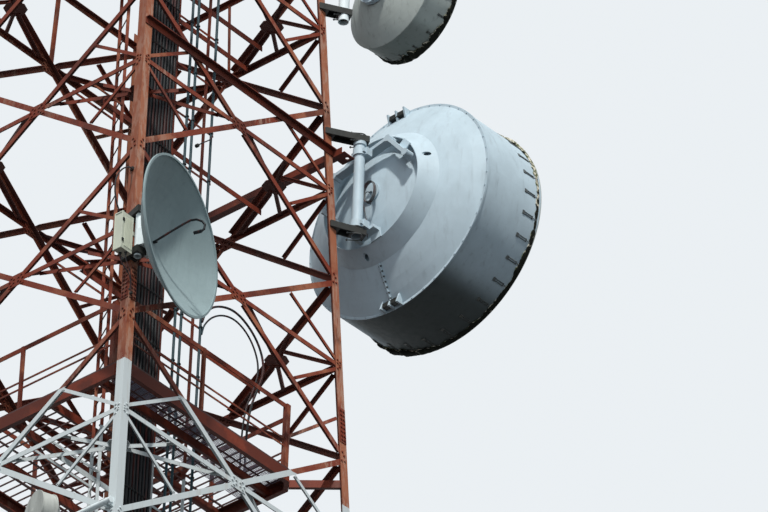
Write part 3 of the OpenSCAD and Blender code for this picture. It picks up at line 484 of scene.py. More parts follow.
def painted_bands(name, c, highlight_and_bleach):
    """Red and white bands by height, rust-stained, chalky and with painted highlight on the side that faces
    the key light, with painted shade on the other sides and underneath.
    """
    n = Finish(name)
    # This mask is the side that faces the key light: painted highlight there, painted shade on the rest
    lit_side = n.facing_key_light(0.05, 0.60)

    # Chalky spots only on the side that faces the key light: chalk and painted highlight in one
    chalk_highlight = n.times(n.spots(0.45 - highlight_and_bleach, 0.70 - highlight_and_bleach, 1.7, 5.0, 0.65), lit_side)
    red = n.mix(chalk_highlight, c.red, c.lit_faded_red)
    dark = n.spots(0.50 + highlight_and_bleach / 2, 0.60 + highlight_and_bleach / 2, 1.15, 4.0, 0.65)
    red = n.mix(n.times(dark, 0.55), red, c.maroon_and_shade)
    peeling = n.times(n.spots(0.50 - highlight_and_bleach, 0.66 - highlight_and_bleach, 0.55, 3.0, 0.6),
                      n.spots(0.47, 0.58, 13.0, 5.0, 0.7, 0.22))
    # The pale peeling shows only on the side that faces the key light: peeling and painted highlight in one
    red = n.mix(n.times(peeling, n.times(lit_side, 0.75)), red, c.lit_bleached)
    # Painted shade: the sides turned from the key light darken to maroon, more in some places than others
    shade_and_soil = n.step(n.spots(0.38, 0.62, 0.9, 3.0, 0.6), 0.0, 1.0, 0.95, 0.65)
    red = n.mix(n.times(n.rest(lit_side), shade_and_soil), red, c.maroon_and_shade)

    # Painted shade: the white turns grey on the sides turned from the key light
    white = n.mix(n.step(lit_side, 0.0, 0.5, 0.60, 0.0), c.white, c.shaded_white)
    streaks = n.spots(0.50, 0.78, 9.0, 3.0, 0.6, 0.10)
    white = n.mix(n.times(streaks, 0.35), white, c.rust_wash)

    height = n.coordinate(n.surface("Position"), "Z")
    wavy = n.maths("ADD", height, n.times(n.noise(6.0, 2.0), 0.05))
    above = [n.step(wavy, z + 0.02, z + 0.04) for z in PAINT_BREAKS]
    paint = n.mix(n.maths("SUBTRACT", above[0], above[1]), red, white)

    rusty = n.times(n.spots(0.66, 0.72, 38.0, 5.0, 0.7), n.spots(0.56, 0.74, 3.1, 4.0, 0.6))
    paint = n.mix(rusty, paint, c.rust)
    drips = n.times(n.spots(0.60, 0.80, 26.0, 3.0, 0.6, 0.06), n.spots(0.45, 0.62, 1.3, 3.0))
    paint = n.mix(n.times(drips, 0.45), paint, c.rust)
    # Painted shade: faces that turn down darken towards grime
    shaded_underside = n.rest(n.facing("Z", -0.3, 0.6))
    paint = n.mix(n.times(shaded_underside, 0.50), paint, c.grime_and_shade)
    n.relief(0.35, 0.0015, 60.0, 4.0, 0.65)
    return n.done(paint, n.step(rusty, 0.0, 1.0, 0.60, 0.88), sheen=0.16)


def plain_paint(name, base, c, streaks=0.25, grit=0.15, rough=0.5, under=0.0, sheen=0.24):
    """One paint colour with dirt streaks, a little rust and, where 'under' asks for it, soot and painted
    shade on the faces that turn down.
    """
    n = Finish(name)
    tone = n.mix(n.spots(0.35, 0.70, 2.2, 4.0, 0.6), [v * 0.90 for v in base], base)
    tone = n.mix(n.times(n.spots(0.52, 0.80, 11.0, 4.0, 0.6, 0.12), streaks), tone, c.grime_and_shade)
    tone = n.mix(n.times(n.spots(0.68, 0.75, 45.0, 4.0, 0.7), grit), tone, c.rust)
    # Faces that turn down get soot and painted shade together
    if under:
        reach = n.maths("ADD", n.facing("Z", -0.70, -1.00), n.times(n.noise(1.6, 5.0, 0.65), 0.16))
        tone = n.mix(n.times(n.step(reach, 0.10, 0.85), under), tone, c.soot_and_shade)
    n.relief(0.2, 0.001, 50.0, 3.0)
    return n.done(tone, n.step(n.noise(14.0, 3.0), 0.3, 0.7, rough - 0.06, rough + 0.10), sheen)


def weathered_cloth(name, base, c):
    """Coated radome cloth with water runs and mould."""
    n = Finish(name)
    runs = n.spots(0.42, 0.75, 7.0, 5.0, 0.65, 0.14)
    tone = n.mix(n.times(runs, 0.55), base, [v * 0.45 for v in base])
    mould = n.spots(0.60, 0.72, 22.0, 5.0, 0.7)
    tone = n.mix(n.times(mould, 0.35), tone, c.grime_and_shade)
    n.relief(0.3, 0.0006, 180.0, 2.0)
    return n.done(tone, 0.75, sheen=0.20)


def radome_growth(name, c):
    """Moss and black dirt along the radome's hem, and more black towards the faces that turn down."""
    n = Finish(name)
    tone = n.mix(n.spots(0.46, 0.56, 16.0, 5.0, 0.7), c.hem, c.growth)
    low_side = n.times(n.facing("Z", 0.2, -0.8), 0.22)
    black = n.step(n.maths("ADD", n.noise(7.0, 4.0, 0.65), low_side), 0.53, 0.60)
    tone = n.mix(black, tone, c.black_growth)
    n.relief(0.8, 0.006, 60.0, 5.0, 0.7)
    return n.done(tone, 0.9, sheen=0.08)


def rubbery(name, base, c):
    """Cable jacket, dusty along its length, and blue-green on the feeders that stand apart."""
    n = Finish(name)
    place = n.surface("Position")
    stray_from = STRAY_FEEDERS[0] - 0.1
    apart = n.times(n.step(n.coordinate(place, "Y"), stray_from, stray_from + 0.01),
                    n.maths("LESS_THAN", n.coordinate(place, "X"), STRAY_EAST))
    overspray = n.step(n.noise(21.0, 2.0, 0.5, 0.03), 0.52, 0.60, 0.0, 0.75)
    jacket = n.mix(overspray, base, c.overspray)
    jacket = n.mix(n.times(apart, 0.8), jacket, c.teal)
    dusty = n.spots(0.48, 0.78, 16.0, 4.0, 0.6, 0.3)
    jacket = n.mix(n.times(dusty, 0.07), jacket, c.dust)
    n.relief(0.1, 0.0005, 120.0, 2.0)
    return n.done(jacket, n.step(dusty, 0.0, 1.0, 0.50, 0.75), sheen=0.20)


def mast_materials(c):
    """One finish per slot of the record, and some for single nodes and added pieces."""
    return {
        "orange_steel": painted_bands("banded_paint", c, highlight_and_bleach=0.0),
        # The legs take more chalk and painted highlight
        "leg_steel": painted_bands("leg_paint", c, highlight_and_bleach=0.18),
        # A darker copy of the banded paint with little highlight: painted shade for bracing that lies in
        # shadow
        "shaded_steel": painted_bands("shaded_bands_paint", c, highlight_and_bleach=-0.12),
        "white_steel": plain_paint("white_paint", c.white, c, streaks=0.30, grit=0.30),
        # 'under' is how much soot and painted shade the faces that turn down take
        "dish_grey": plain_paint("dish_paint", c.dish, c, streaks=0.16, grit=0.08, rough=0.48, under=0.20),
        "stained_dish": plain_paint("stained_dish_paint", c.stained, c, streaks=0.40, grit=0.20, rough=0.55,
                                    under=0.50, sheen=0.09),
        "drum_side": plain_paint("drum_side_paint", c.dish, c, streaks=0.22, grit=0.10, rough=0.55,
                                 under=0.88, sheen=0.09),
        "dull_dish": plain_paint("dull_dish_paint", c.dull, c, streaks=0.16, grit=0.08, rough=0.55),
        "radome": weathered_cloth("radome_cloth", c.radome, c),
        "growth": radome_growth("radome_growth", c),
        "mesh_steel": plain_paint("deck_paint", c.deck, c, streaks=0.20, grit=0.50, rough=0.6),
        "mesh": plain_paint("mesh_paint", c.mesh, c, streaks=0.20, grit=0.30, rough=0.6),
        "black_jacket": rubbery("black_jacket", c.jacket, c),
        "grey_jacket": rubbery("grey_jacket", c.grey_jacket, c),
        "cream_case": plain_paint("cream_paint", c.cream, c, streaks=0.12, grit=0.04, rough=0.42),
        "dark_steel": plain_paint("dark_steel", c.dark_steel, c, streaks=0.3, grit=0.6, rough=0.6),
        "sprung_steel": plain_paint("sprung_steel", c.sprung_steel, c, streaks=0.3, grit=0.4, under=0.9),
    }


# Finish of each node that doesn't take its slot's own
FINISHES = {"open_reflector": "dull_dish", "large_mount_pipe": "dish_grey", "large_shroud": "drum_side",
            "upper_shroud": "stained_dish", "upper_reflector": "stained_dish",
            "leg_northeast": "leg_steel", "leg_northwest": "leg_steel",
            "leg_southeast": "leg_steel", "leg_southwest": "leg_steel",
            # Bracing inside the mast, the deck's hangers and beams and the cable ladder take the darker copy:
            # painted shade
            **dict.fromkeys(("dish_girts", "plan_bracing_lower", "plan_bracing_middle", "plan_bracing_upper",
                             "platform_hangers", "platform_beams", "cable_ladder"), "shaded_steel")}


def slots_in_use():
    return {part["node"]: part["material_slot"] for part in frame["record"]["subparts"]}


# Operators


class MAST_OT_paint(bpy.types.Operator):
    """Gives every CAD piece its own finish, or else the finish of its slot"""

    bl_idname = "mast.paint"
    bl_label = "Paint the mast"

    def execute(self, context):
        MATERIALS.update(mast_materials(context.scene.mast_colours))
        for node, slot in slots_in_use().items():
            shown = frame["nodes"][node]
            for holder in shown.material_slots:
                holder.material = MATERIALS[FINISHES.get(node, slot)]
        return {"FINISHED"}


def bar_ends(setout, k):
    """Bars and short struts of one bay, each as (from, to, width) in the face's frame."""
    a, b, c = setout.low(k), setout.levels[k + 1], setout.crossing(k)
    mid = setout.at_middle(c)
    bars = [(setout.at_leg(-1, a), setout.at_leg(1, b), setout.s.diag_w),
            (setout.at_leg(-1, b), setout.at_leg(1, a), setout.s.diag_w),
            (setout.at_leg(-1, c), setout.at_leg(1, c), setout.s.girt_w)]
    struts = []
    for z in (a, b):
        for side in (-1, 1):
            struts.append((setout.at_leg(side, c), (mid + setout.at_leg(side, z)) / 2, setout.s.strut_w))
    return bars, struts


# Two bolts at a bar's end: the first one's distance across the face from the bar's set-out point, their
# pitch, and how far each stands off the bar's middle line as a share of its width
END_FIRST, END_PITCH, END_ASIDE = 0.062, 0.052, 0.14
# Bolts of the diagonals and of the horizontal, from the middle of the crossing, and how deep their heads lie
DIAGONAL_REACH, GIRT_REACH, CROSSING_DEPTH = (0.055, 0.115), (0.128,), -0.004
# Half width and half height of the part of the crossing's plate that bolts go through
PLATE_REACH = (0.142, 0.102)
# A strut's far bolt lies short of the diagonal's set-out line by this share of the diagonal's width, and by
# this much more
STRUT_SHARE, STRUT_SHORT = 0.62, 0.030


def face_bolts(setout, k):
    """Bolts of one bay of a face, as (place, depth from the heel plane, diameter)."""
    s = setout.s
    bars, struts = bar_ends(setout, k)
    found = []
    for p, q, w in bars + struts:
        way = (q - p).normalized()
        across = Vector((-way.y, way.x)) * w * END_ASIDE
        for point, sign in ((p, 1),) if w == s.strut_w else ((p, 1), (q, -1)):
            for n, aside in enumerate((-1, 1)):
                reach = (END_FIRST + END_PITCH * n) / abs(way.x)
                found.append((point + way * sign * reach + across * aside, 0.0, s.bolt_d))
    mid = setout.at_middle(setout.crossing(k))
    for p, q, w in bars:
        way = (q - p).normalized()
        for sign in (-1, 1):
            for reach in DIAGONAL_REACH if w == s.diag_w else GIRT_REACH:
                at = mid + way * sign * reach
                if abs(at.x) < PLATE_REACH[0] and abs(at.y - mid.y) < PLATE_REACH[1]:
                    found.append((at, CROSSING_DEPTH, s.bolt_d))
    for p, q, _ in struts:
        at = q - (q - p).normalized() * (s.diag_w * STRUT_SHARE + STRUT_SHORT)
        found.append((at, -s.leg_t - PLAY, s.bolt_d * 0.8))
    return found


class MAST_OT_face_bolts(bpy.types.Operator):
    """Bolts the bracing of the four faces to the legs and to itself"""

    bl_idname = "mast.face_bolts"
    bl_label = "Bolt the faces"

    def execute(self, context):
        s = context.scene.mast_sizes
        setout = Setout(s)
        for side, name in enumerate(("south", "east", "north", "west")):
            shape = Shape()
            face = setout.face(side)
            out = (face.to_3x3() @ Vector((0, 0, 1))).normalized()
            for k in range(len(BAYS)):
                for at, depth, d in face_bolts(setout, k):
                    grip = s.leg_t + s.brace_t + PLAY + depth
                    shape.bolt(face @ Vector((at.x, at.y, depth)), out, d, grip)
            shape.piece(f"{name}_face_bolts", "orange_steel", "orange_steel")
        return {"FINISHED"}


# Splices as (level, height of the splice's foot above it)
SPLICES = ((1, 0.420), (3, 0.300))
# Heights of the rows of bolts above a splice's foot
SPLICE_ROWS = [0.050 + 0.0743 * n for n in range(8)]
# Heights of the rows of bolts through a shoe
SHOE_ROWS = (0.090, 0.170)
# Distances of the two columns of bolts from the leg's heel
BOLT_COLUMNS = (0.045, 0.105)
# How far a bolt's washer stands off the leg's face, and the steel that the bolt holds together
SPLICE_HOLD, SHOE_HOLD = (0.0105, 0.0245), (0.0165, 0.0305)


class MAST_OT_splice_bolts(bpy.types.Operator):
    """Rows of bolts through the splice covers and the shoes of the legs"""

    bl_idname = "mast.splice_bolts"
    bl_label = "Bolt the splices"

    def execute(self, context):
        s = context.scene.mast_sizes
        setout = Setout(s)
        feet = [setout.levels[level] + above for level, above in SPLICES]
        rows = [(foot + z, *SPLICE_HOLD) for foot in feet for z in SPLICE_ROWS]
        rows += [(z, *SHOE_HOLD) for z in SHOE_ROWS]
        shape = Shape()
        for corner in range(4):
            leg = setout.leg(corner)
            for z, off, grip in rows:
                for column in BOLT_COLUMNS:
                    for at, out in (((-column, off, z), (0, 1, 0)), ((off, -column, z), (1, 0, 0))):
                        shape.bolt(leg @ Vector(at), leg.to_3x3() @ Vector(out), s.bolt_d * 1.1, grip)
        shape.piece("leg_splice_bolts", "orange_steel", "orange_steel")
        return {"FINISHED"}


# The mesh lies east of this
MESH_WEST = 0.80
# Spacing of its wires, half a wire's thickness, and the mesh's height above the underside of the deck's bars
MESH_PITCH, MESH_HALF_WIRE, MESH_LIFT = 0.028, 0.0030, 0.006
# How far the mesh stops short of the deck's edge, and how much of each corner is cut off for the leg
MESH_MARGIN, MESH_CORNER = 0.03, 0.150
# Openings of the deck for the feeder run and for the climber, as (west, east, south, north)
DECK_OPENINGS = ((0.99, 1.21, -1.09, 0.67), (0.35, 1.21, -1.73, -0.87))


class MAST_OT_deck_mesh(bpy.types.Operator):
    """Welded wire mesh in the eastern part of the deck, with the deck's openings left free"""

    bl_idname = "mast.deck_mesh"
    bl_label = "Lay the deck mesh"

    def execute(self, context):
        low, high = corners("platform_deck")
        z = low.z + MESH_LIFT
        half = high.x - MESH_MARGIN
        wire = MESH_HALF_WIRE
        count = int(half / MESH_PITCH)
        shape = Shape()
        for n in range(-count, count + 1):
            u = n * MESH_PITCH
            for a, b in self.spans(u, half, True):
                a = max(a, MESH_WEST)
                if b > a:
                    shape.block((a, u - wire, z), (b, u + wire, z + 2 * wire))
            for a, b in self.spans(u, half, False) if u > MESH_WEST else ():
                shape.block((u - wire, a, z + 2 * wire), (u + wire, b, z + 4 * wire))
        shape.piece("deck_mesh", "mesh", "mesh_steel")
        return {"FINISHED"}

    def spans(self, u, half, along_x):
        """Stretches of one wire that lie inside the outline and outside the openings."""
        corner = half - MESH_CORNER
        reach = half if abs(u) <= corner else half + corner - abs(u)
        if along_x:
            cuts = sorted((west, east) for west, east, south, north in DECK_OPENINGS if south < u < north)
        else:
            cuts = sorted((south, north) for west, east, south, north in DECK_OPENINGS if west < u < east)
        start, found = -reach, []
        for a, b in cuts:
            if a > start:
                found.append((start, a))
            start = max(start, b)
        return found + [(start, reach)]


# The feeder run: feeders in its inner row, the first one's distance from the cable ladder's south edge,
# and the last one's place
RUN_COUNT, RUN_FIRST, RUN_LAST = 9, 0.055, -0.390
# Height of the lowest clamps above the ladder's foot, the room left at its top, and half a clamp's height
CLAMP_FOOT, CLAMP_HEAD, CLAMP_HALF = 0.170, 0.2, 0.014
# How far a clamp stands out from its feeder to the west, to the east and to each side, and its screw's size
CLAMP_WEST, CLAMP_EAST, CLAMP_SIDE, CLAMP_SCREW = 0.006, 0.005, 0.004, 0.012


class MAST_OT_feeder_clamps(bpy.types.Operator):
    """Clamps that hold the feeders to the rungs of the cable ladder"""

    bl_idname = "mast.feeder_clamps"
    bl_label = "Clamp the feeders"

    def execute(self, context):
        c = context.scene.mast_cables
        low, high = corners("cable_ladder")
        r = c.feeder_d / 2
        first = low.y + RUN_FIRST
        pitch = (RUN_LAST - first) / (RUN_COUNT - 1)
        outer = math.sqrt((c.feeder_d * math.cos(math.pi / 24)) ** 2 - (pitch / 2) ** 2)
        inner_row = [first + pitch * n for n in range(RUN_COUNT)]
        runs = [(c.plane, y) for y in (*inner_row, *STRAY_FEEDERS)]
        runs += [(c.plane + outer, y + pitch / 2) for y in inner_row[:-1]]
        shape, pins = Shape(), Shape()
        z = low.z + CLAMP_FOOT
        while z < high.z - CLAMP_HEAD:
            for x, y in runs:
                shape.block((x - r - CLAMP_WEST, y - r - CLAMP_SIDE, z - CLAMP_HALF),
                            (x + r + CLAMP_EAST, y + r + CLAMP_SIDE, z + CLAMP_HALF))
                pins.bolt(Vector((x + r + CLAMP_EAST, y, z)), Vector((1, 0, 0)), CLAMP_SCREW)
            z += c.rung_pitch
        shape.piece("feeder_clamps", "black_jacket", bevel=0.003)
        pins.piece("feeder_clamp_screws", "dark_steel", "dark_steel")
        return {"FINISHED"}


# Ragged stretches of a hem, as (degrees round it, how much heavier it is there, how narrow the stretch is)
LARGE_RAGGED = ((-48, 1.3, 24), (118, 1.6, 16))
UPPER_RAGGED = ((92, 2.0, 60), (60, 0.8, 30))
# Size of the upper drum's hooks beside the large one's
UPPER_SCALE = 0.62
# How far the drum's skin lies inside the drum's outer radius
DRUM_SKIN = 0.0115
# Hook: distance of its foot from the radome's edge, length, half width and thickness
HOOK_FOOT, HOOK_LONG, HOOK_HALF, HOOK_THICK = 0.350, 0.045, 0.030, 0.011
# Springs: distance of their end from the edge, each one's place aside, its half width, the rise of half a
# turn and the radius of its wire
SPRING_END, SPRING_ASIDE, SPRING_HALF, COIL_RISE, COIL_WIRE = 0.125, 0.016, 0.005, 0.0085, 0.0055
# Bar across the springs' end: half width and length
BAR_HALF, BAR_LONG = 0.026, 0.012
# Link from the bar to the hem: distance of its end from the edge, and its radius
LINK_END, LINK_RADIUS = 0.031, 0.0045
# Clip on the hem: distances of its foot and head from the edge, and half its width
CLIP_FOOT, CLIP_HEAD, CLIP_HALF = 0.060, 0.032, 0.020
# A hem's points round the drum and round the roll, and the seed of its lumps
HEM_TURNS, HEM_SIDES, HEM_SEED = 360, 8, 5
# The roll's half thickness, its half width and its place out from the drum's outer radius, each as (least,
# more with its lumps), and how far it reaches past the drum's edge
HEM_THICK, HEM_WIDE, HEM_OUT, HEM_OVER = (0.006, 0.016), (0.020, 0.044), (-0.0075, 0.012), 0.014


class MAST_OT_radome_edge(bpy.types.Operator):
    """Hooks and springs that stretch the radome, its hem rope and the dirt along it"""

    bl_idname = "mast.radome_edge"
    bl_label = "Hook the radome"

    def execute(self, context):
        d = context.scene.mast_dish
        large, upper = dish_frame(context.scene.mast_sizes), upper_frame(context.scene.mast_sizes)
        self.hooks("large", d.radius, d.drum_len, d.hooks, 1.0, large)
        self.hem("large", d.radius, d.drum_len, LARGE_RAGGED, 0, large)
        self.hooks("upper", d.upper_radius, d.upper_len, d.upper_hooks, UPPER_SCALE, upper)
        self.hem("upper", d.upper_radius, d.upper_len, UPPER_RAGGED, -90, upper)
        return {"FINISHED"}

    def hooks(self, drum, radius, drum_len, count, scale, place):
        """Flat hook on the drum, pair of springs, and the clip on the radome's hem."""
        hooks = Shape()
        skin = radius - DRUM_SKIN
        start, stop = drum_len - HOOK_FOOT * scale, drum_len - SPRING_END * scale
        head = start + HOOK_LONG * scale
        coils = [(math.cos(math.pi * m), head + COIL_RISE * m) for m in range(int((stop - head) / COIL_RISE))]
        for turn in spun(count, place):
            hooks.block((skin, -HOOK_HALF * scale, start), (skin + HOOK_THICK, HOOK_HALF * scale, head), turn)
            for side in (-1, 1):
                hooks.tube([turn @ Vector((skin + HOOK_THICK / 2,
                                           scale * (SPRING_ASIDE * side + SPRING_HALF * swing), z))
                            for swing, z in coils], COIL_WIRE, 6)
            hooks.block((skin + 0.001, -BAR_HALF * scale, stop - BAR_LONG),
                        (skin + HOOK_THICK, BAR_HALF * scale, stop), turn)
            hooks.tube([turn @ Vector((skin + 0.0060, 0, z)) for z in (stop - 0.010, drum_len - LINK_END)],
                       LINK_RADIUS, 6)
            hooks.block((skin + 0.002, -CLIP_HALF, drum_len - CLIP_FOOT),
                        (skin + 0.0115, CLIP_HALF, drum_len - CLIP_HEAD), turn)
        hooks.piece(f"{drum}_radome_hooks", "sprung_steel", "dark_steel")

    def hem(self, drum, radius, drum_len, ragged, flat_at, place):
        """Lumpy roll of hem rope and dirt, flat where the drum reaches furthest out."""
        draw = random.Random(HEM_SEED)
        lump = [draw.uniform(0.2, 1.0) for _ in range(HEM_TURNS)]
        verts = []
        for n, a in enumerate(round_angles(HEM_TURNS)):
            free = min(1.0, max(0.0, (1.0 - math.cos(a - math.radians(flat_at))) * 4.0))
            size = (lump[n] + lump[n - 1] + lump[(n + 1) % HEM_TURNS]) / 3
            heavy = 1.0 + sum(more * max(0.0, math.cos(a - math.radians(at))) ** tight
                              for at, more, tight in ragged)
            thick = HEM_THICK[0] + HEM_THICK[1] * size * free * heavy
            wide = HEM_WIDE[0] + HEM_WIDE[1] * size * heavy
            middle = radius + HEM_OUT[0] + HEM_OUT[1] * free * size * heavy
            for b in round_angles(HEM_SIDES):
                r = middle + thick * math.cos(b)
                z = drum_len + HEM_OVER - wide + wide * math.sin(b)
                verts.append((r * math.cos(a), r * math.sin(a), z))
        roll = Shape()
        roll.add(verts, loop_faces(HEM_TURNS, HEM_SIDES), place)
        roll.piece(f"{drum}_radome_hem", "growth", smooth=True)


# Rim bolts of the large reflector: number, diameter, distance within its radius, and behind the rim's face
RIM_BOLTS, RIM_BOLT_D, RIM_INSET, RIM_BACK = 48, 0.014, 0.022, 0.0065
# The seam runs from the back ring's radius to this distance within the reflector's, in straight steps
RING_RADIUS, SEAM_INSET, SEAM_STEPS = 1.19, 0.045, 8
# Its height, its two flanges across it, its clearance off the bowl, and its bolts' diameter and grip
SEAM_HEIGHT, SEAM_FLANGES, SEAM_OFF = 0.040, ((0.002, 0.009), (-0.009, -0.002)), 0.007
SEAM_BOLT_D, SEAM_GRIP = 0.017, 0.018
# Lugs: the ribs' places across the seam, and half a rib's thickness
LUG_PLACES, LUG_HALF = (-0.165, 0.0, 0.165), 0.016
# How far their outer and inner ends lie within the radius, and the depths of those ends' fronts and backs
LUG_OUTER, LUG_INNER = 0.008, 0.240
LUG_OUTER_DEPTH, LUG_INNER_DEPTH = (0.0066, 0.150), (0.070, 0.075)
# Dark block across the lugs, a painted shadow between them: half length, distances of its sides within the
# lugs' outer ends, and its margin
LUG_SHADE_HALF, LUG_SHADE_SIDES, LUG_SHADE_MARGIN = 0.150, (0.11, 0.03), 0.030


class MAST_OT_reflector_trim(bpy.types.Operator):
    """Seam, lugs and rim bolts on the back of the large reflector"""

    bl_idname = "mast.reflector_trim"
    bl_label = "Trim the reflector"

    def execute(self, context):
        d = context.scene.mast_dish
        place = dish_frame(context.scene.mast_sizes)
        self.seam(d, place)
        self.lugs(d, place)
        bolts = Shape()
        back = place.to_3x3() @ Vector((0, 0, -1))
        for turn in spun(RIM_BOLTS, place, 0.5):
            bolts.bolt(turn @ Vector((d.radius - RIM_INSET, 0, -RIM_BACK)), back, RIM_BOLT_D)
        bolts.piece("large_rim_bolts", "dish_grey", "dish_grey")
        return {"FINISHED"}

    def seam(self, d, place):
        """Two flanges bolted together down the lower half of the bowl, from the back ring to the rim."""
        seam, studs = Shape(), Shape()
        rim = d.radius - SEAM_INSET
        radii = [RING_RADIUS + (rim - RING_RADIUS) * m / SEAM_STEPS for m in range(SEAM_STEPS + 1)]
        for r0, r1 in zip(radii, radii[1:]):
            z0, z1 = (-d.depth * (1 - (r / rim) ** 2) - SEAM_OFF for r in (r0, r1))
            for x0, x1 in SEAM_FLANGES:
                around = ((x0, r0, z0), (x1, r0, z0), (x1, r1, z1), (x0, r1, z1))
                seam.add([(x, r, z - SEAM_HEIGHT) for x, r, z in around] + list(around), BLOCK_FACES, place)
            at = place @ Vector((SEAM_FLANGES[0][1], (r0 + r1) / 2, (z0 + z1) / 2 - 0.022))
            studs.bolt(at, place.to_3x3() @ Vector((1, 0, 0)), SEAM_BOLT_D, SEAM_GRIP)
        seam.piece("large_reflector_seam", "dish_grey", "dish_grey")
        studs.piece("large_seam_bolts", "sprung_steel", "dark_steel")

    def lugs(self, d, place):
        """Three ribs with a dark block across them that paints the shadow between them, at the top and at the
        bottom of the rim.
        """
        ribs, bars = Shape(), Shape()
        outer, inner = d.radius - LUG_OUTER, d.radius - LUG_INNER
        (front, back), (inner_front, inner_back) = LUG_OUTER_DEPTH, LUG_INNER_DEPTH
        for s in (-1, 1):
            for x in LUG_PLACES:
                low, high = x - LUG_HALF, x + LUG_HALF
                verts = [(low, s * inner, -inner_back), (high, s * inner, -inner_back),
                         (high, s * outer, -back), (low, s * outer, -back),
                         (low, s * inner, -inner_front), (high, s * inner, -inner_front),
                         (high, s * outer, -front), (low, s * outer, -front)]
                ribs.add(verts, BLOCK_FACES, place)
            # The dark block stands for the shadow between the ribs
            near, far = sorted(s * (outer - within) for within in LUG_SHADE_SIDES)
            bars.block((-LUG_SHADE_HALF, near, -back + LUG_SHADE_MARGIN),
                       (LUG_SHADE_HALF, far, -LUG_SHADE_MARGIN), place)
        ribs.piece("large_rim_lugs", "dish_grey", "dish_grey", bevel=0.003)
        bars.piece("large_rim_lug_shade_block", "dark_steel", "dark_steel", bevel=0.004)


# The drums' pipes: distance east and north from the leg's heel, and height above the crossing
LARGE_PIPE, UPPER_PIPE = (0.200, 0.350, 0.250), (0.130, 0.233, 1.370)
# How far each drum is turned from north, in degrees, and its rim's distance from its pipe
LARGE_AIM, UPPER_AIM = (-2.0, 0.890), (-6.5, 0.977)


def on_pipe(pipe, turned, reach):
    """Frame of a drum dish that looks north from its pipe: z out along its axis from the rim, y down."""
    return (Matrix.Translation(pipe) @ Matrix.Rotation(math.radians(turned), 4, "Z")
            @ Matrix.Rotation(math.radians(-90), 4, "X") @ Matrix.Translation((0, 0, reach)))


def dish_frame(s):
    """Frame of the large dish, on its pipe beside the northeast leg."""
    east, north, up = LARGE_PIPE
    setout = Setout(s)
    z = setout.crossing(4) + up
    half = setout.half(z)
    return on_pipe((half + east, half + north, z), *LARGE_AIM)


def upper_frame(s):
    """Frame of the upper drum dish, on its pipe above the large one."""
    east, north, up = UPPER_PIPE
    setout = Setout(s)
    z = setout.crossing(5)
    half = setout.half(z)
    return on_pipe((half + east, half + north, z + up), *UPPER_AIM)


def hang_lead(name, path, d, material):
    """One free lead along a path."""
    shape = Shape()
    shape.tube(path, d / 2, 10)
    lead = shape.piece(name, material, smooth=True)


# Routes of the leads
RADIO_LEAD = ((2.365, -2.640, 15.199), (2.365, -2.665, 15.27), (2.380, -2.740, 15.36), (2.395, -2.800, 15.48),
              (2.400, -2.820, 15.62), (2.400, -2.805, 15.76), (2.395, -2.750, 15.90), (2.385, -2.660, 16.03),
              (2.360, -2.540, 16.14), (2.310, -2.420, 16.22), (2.240, -2.330, 16.28), (2.190, -2.285, 16.34))
RADIO_TAILS = (((2.375, -2.600, 14.557), (2.378, -2.598, 14.47), (2.390, -2.560, 14.38),
                (2.405, -2.490, 14.31), (2.410, -2.420, 14.24), (2.400, -2.380, 14.14),
                (2.385, -2.372, 14.03)),
               ((2.445, -2.560, 14.557), (2.447, -2.556, 14.46), (2.456, -2.515, 14.36),
                (2.455, -2.455, 14.26), (2.435, -2.405, 14.16), (2.425, -2.385, 14.05),
                (2.420, -2.376, 13.95)))
DECK_LOOP = ((1.125, 0.495, 15.62), (1.150, 0.530, 15.78), (1.190, 0.630, 15.93), (1.220, 0.800, 16.03),
             (1.245, 1.000, 16.07), (1.255, 1.200, 16.04), (1.260, 1.400, 15.94), (1.262, 1.560, 15.80),
             (1.265, 1.670, 15.62), (1.268, 1.715, 15.43), (1.270, 1.700, 15.23), (1.272, 1.640, 15.03),
             (1.280, 1.560, 14.82), (1.290, 1.480, 14.58), (1.300, 1.420, 14.30), (1.305, 1.390, 14.00),
             (1.308, 1.380, 13.70), (1.310, 1.380, 13.32))
INNER_LOOP = ((1.100, 0.522, 15.42), (1.112, 0.560, 15.60), (1.140, 0.660, 15.77), (1.170, 0.800, 15.89),
              (1.200, 0.960, 15.95), (1.220, 1.130, 15.95), (1.235, 1.300, 15.88), (1.240, 1.450, 15.76),
              (1.243, 1.560, 15.60), (1.246, 1.620, 15.42), (1.250, 1.620, 15.22), (1.252, 1.575, 15.02),
              (1.258, 1.500, 14.80), (1.262, 1.420, 14.58), (1.266, 1.360, 14.30), (1.268, 1.330, 14.00),
              (1.270, 1.320, 13.70), (1.270, 1.320, 13.32))
PIGTAIL = ((1.112, 0.486, 19.08), (1.140, 0.455, 19.01), (1.160, 0.395, 18.93), (1.170, 0.315, 18.85),
           (1.175, 0.230, 18.77), (1.176, 0.155, 18.69))
# Leads as (name, route, diameter as a share of the common one)
LEADS = (("radio_lead", RADIO_LEAD, 1.0),
         ("radio_tail_1", RADIO_TAILS[0], 0.7), ("radio_tail_2", RADIO_TAILS[1], 0.7),
         ("deck_loop_1", DECK_LOOP, 1.5), ("deck_loop_2", INNER_LOOP, 1.2))
PIGTAIL_SHARE = 0.8
# Outline of the pigtail's connector, as (radius, place along the lead)
CONNECTOR = ((0.006, -0.004), (0.017, -0.004), (0.019, 0.020), (0.030, 0.026), (0.030, 0.075), (0.024, 0.080),
             (0.006, 0.080))
# Gland of a lead: radius and height of its nut, and the radii of its sleeve's foot and head and its height
GLAND_NUT, GLAND_SLEEVE = (0.024, 0.014), (0.019, 0.015, 0.045)


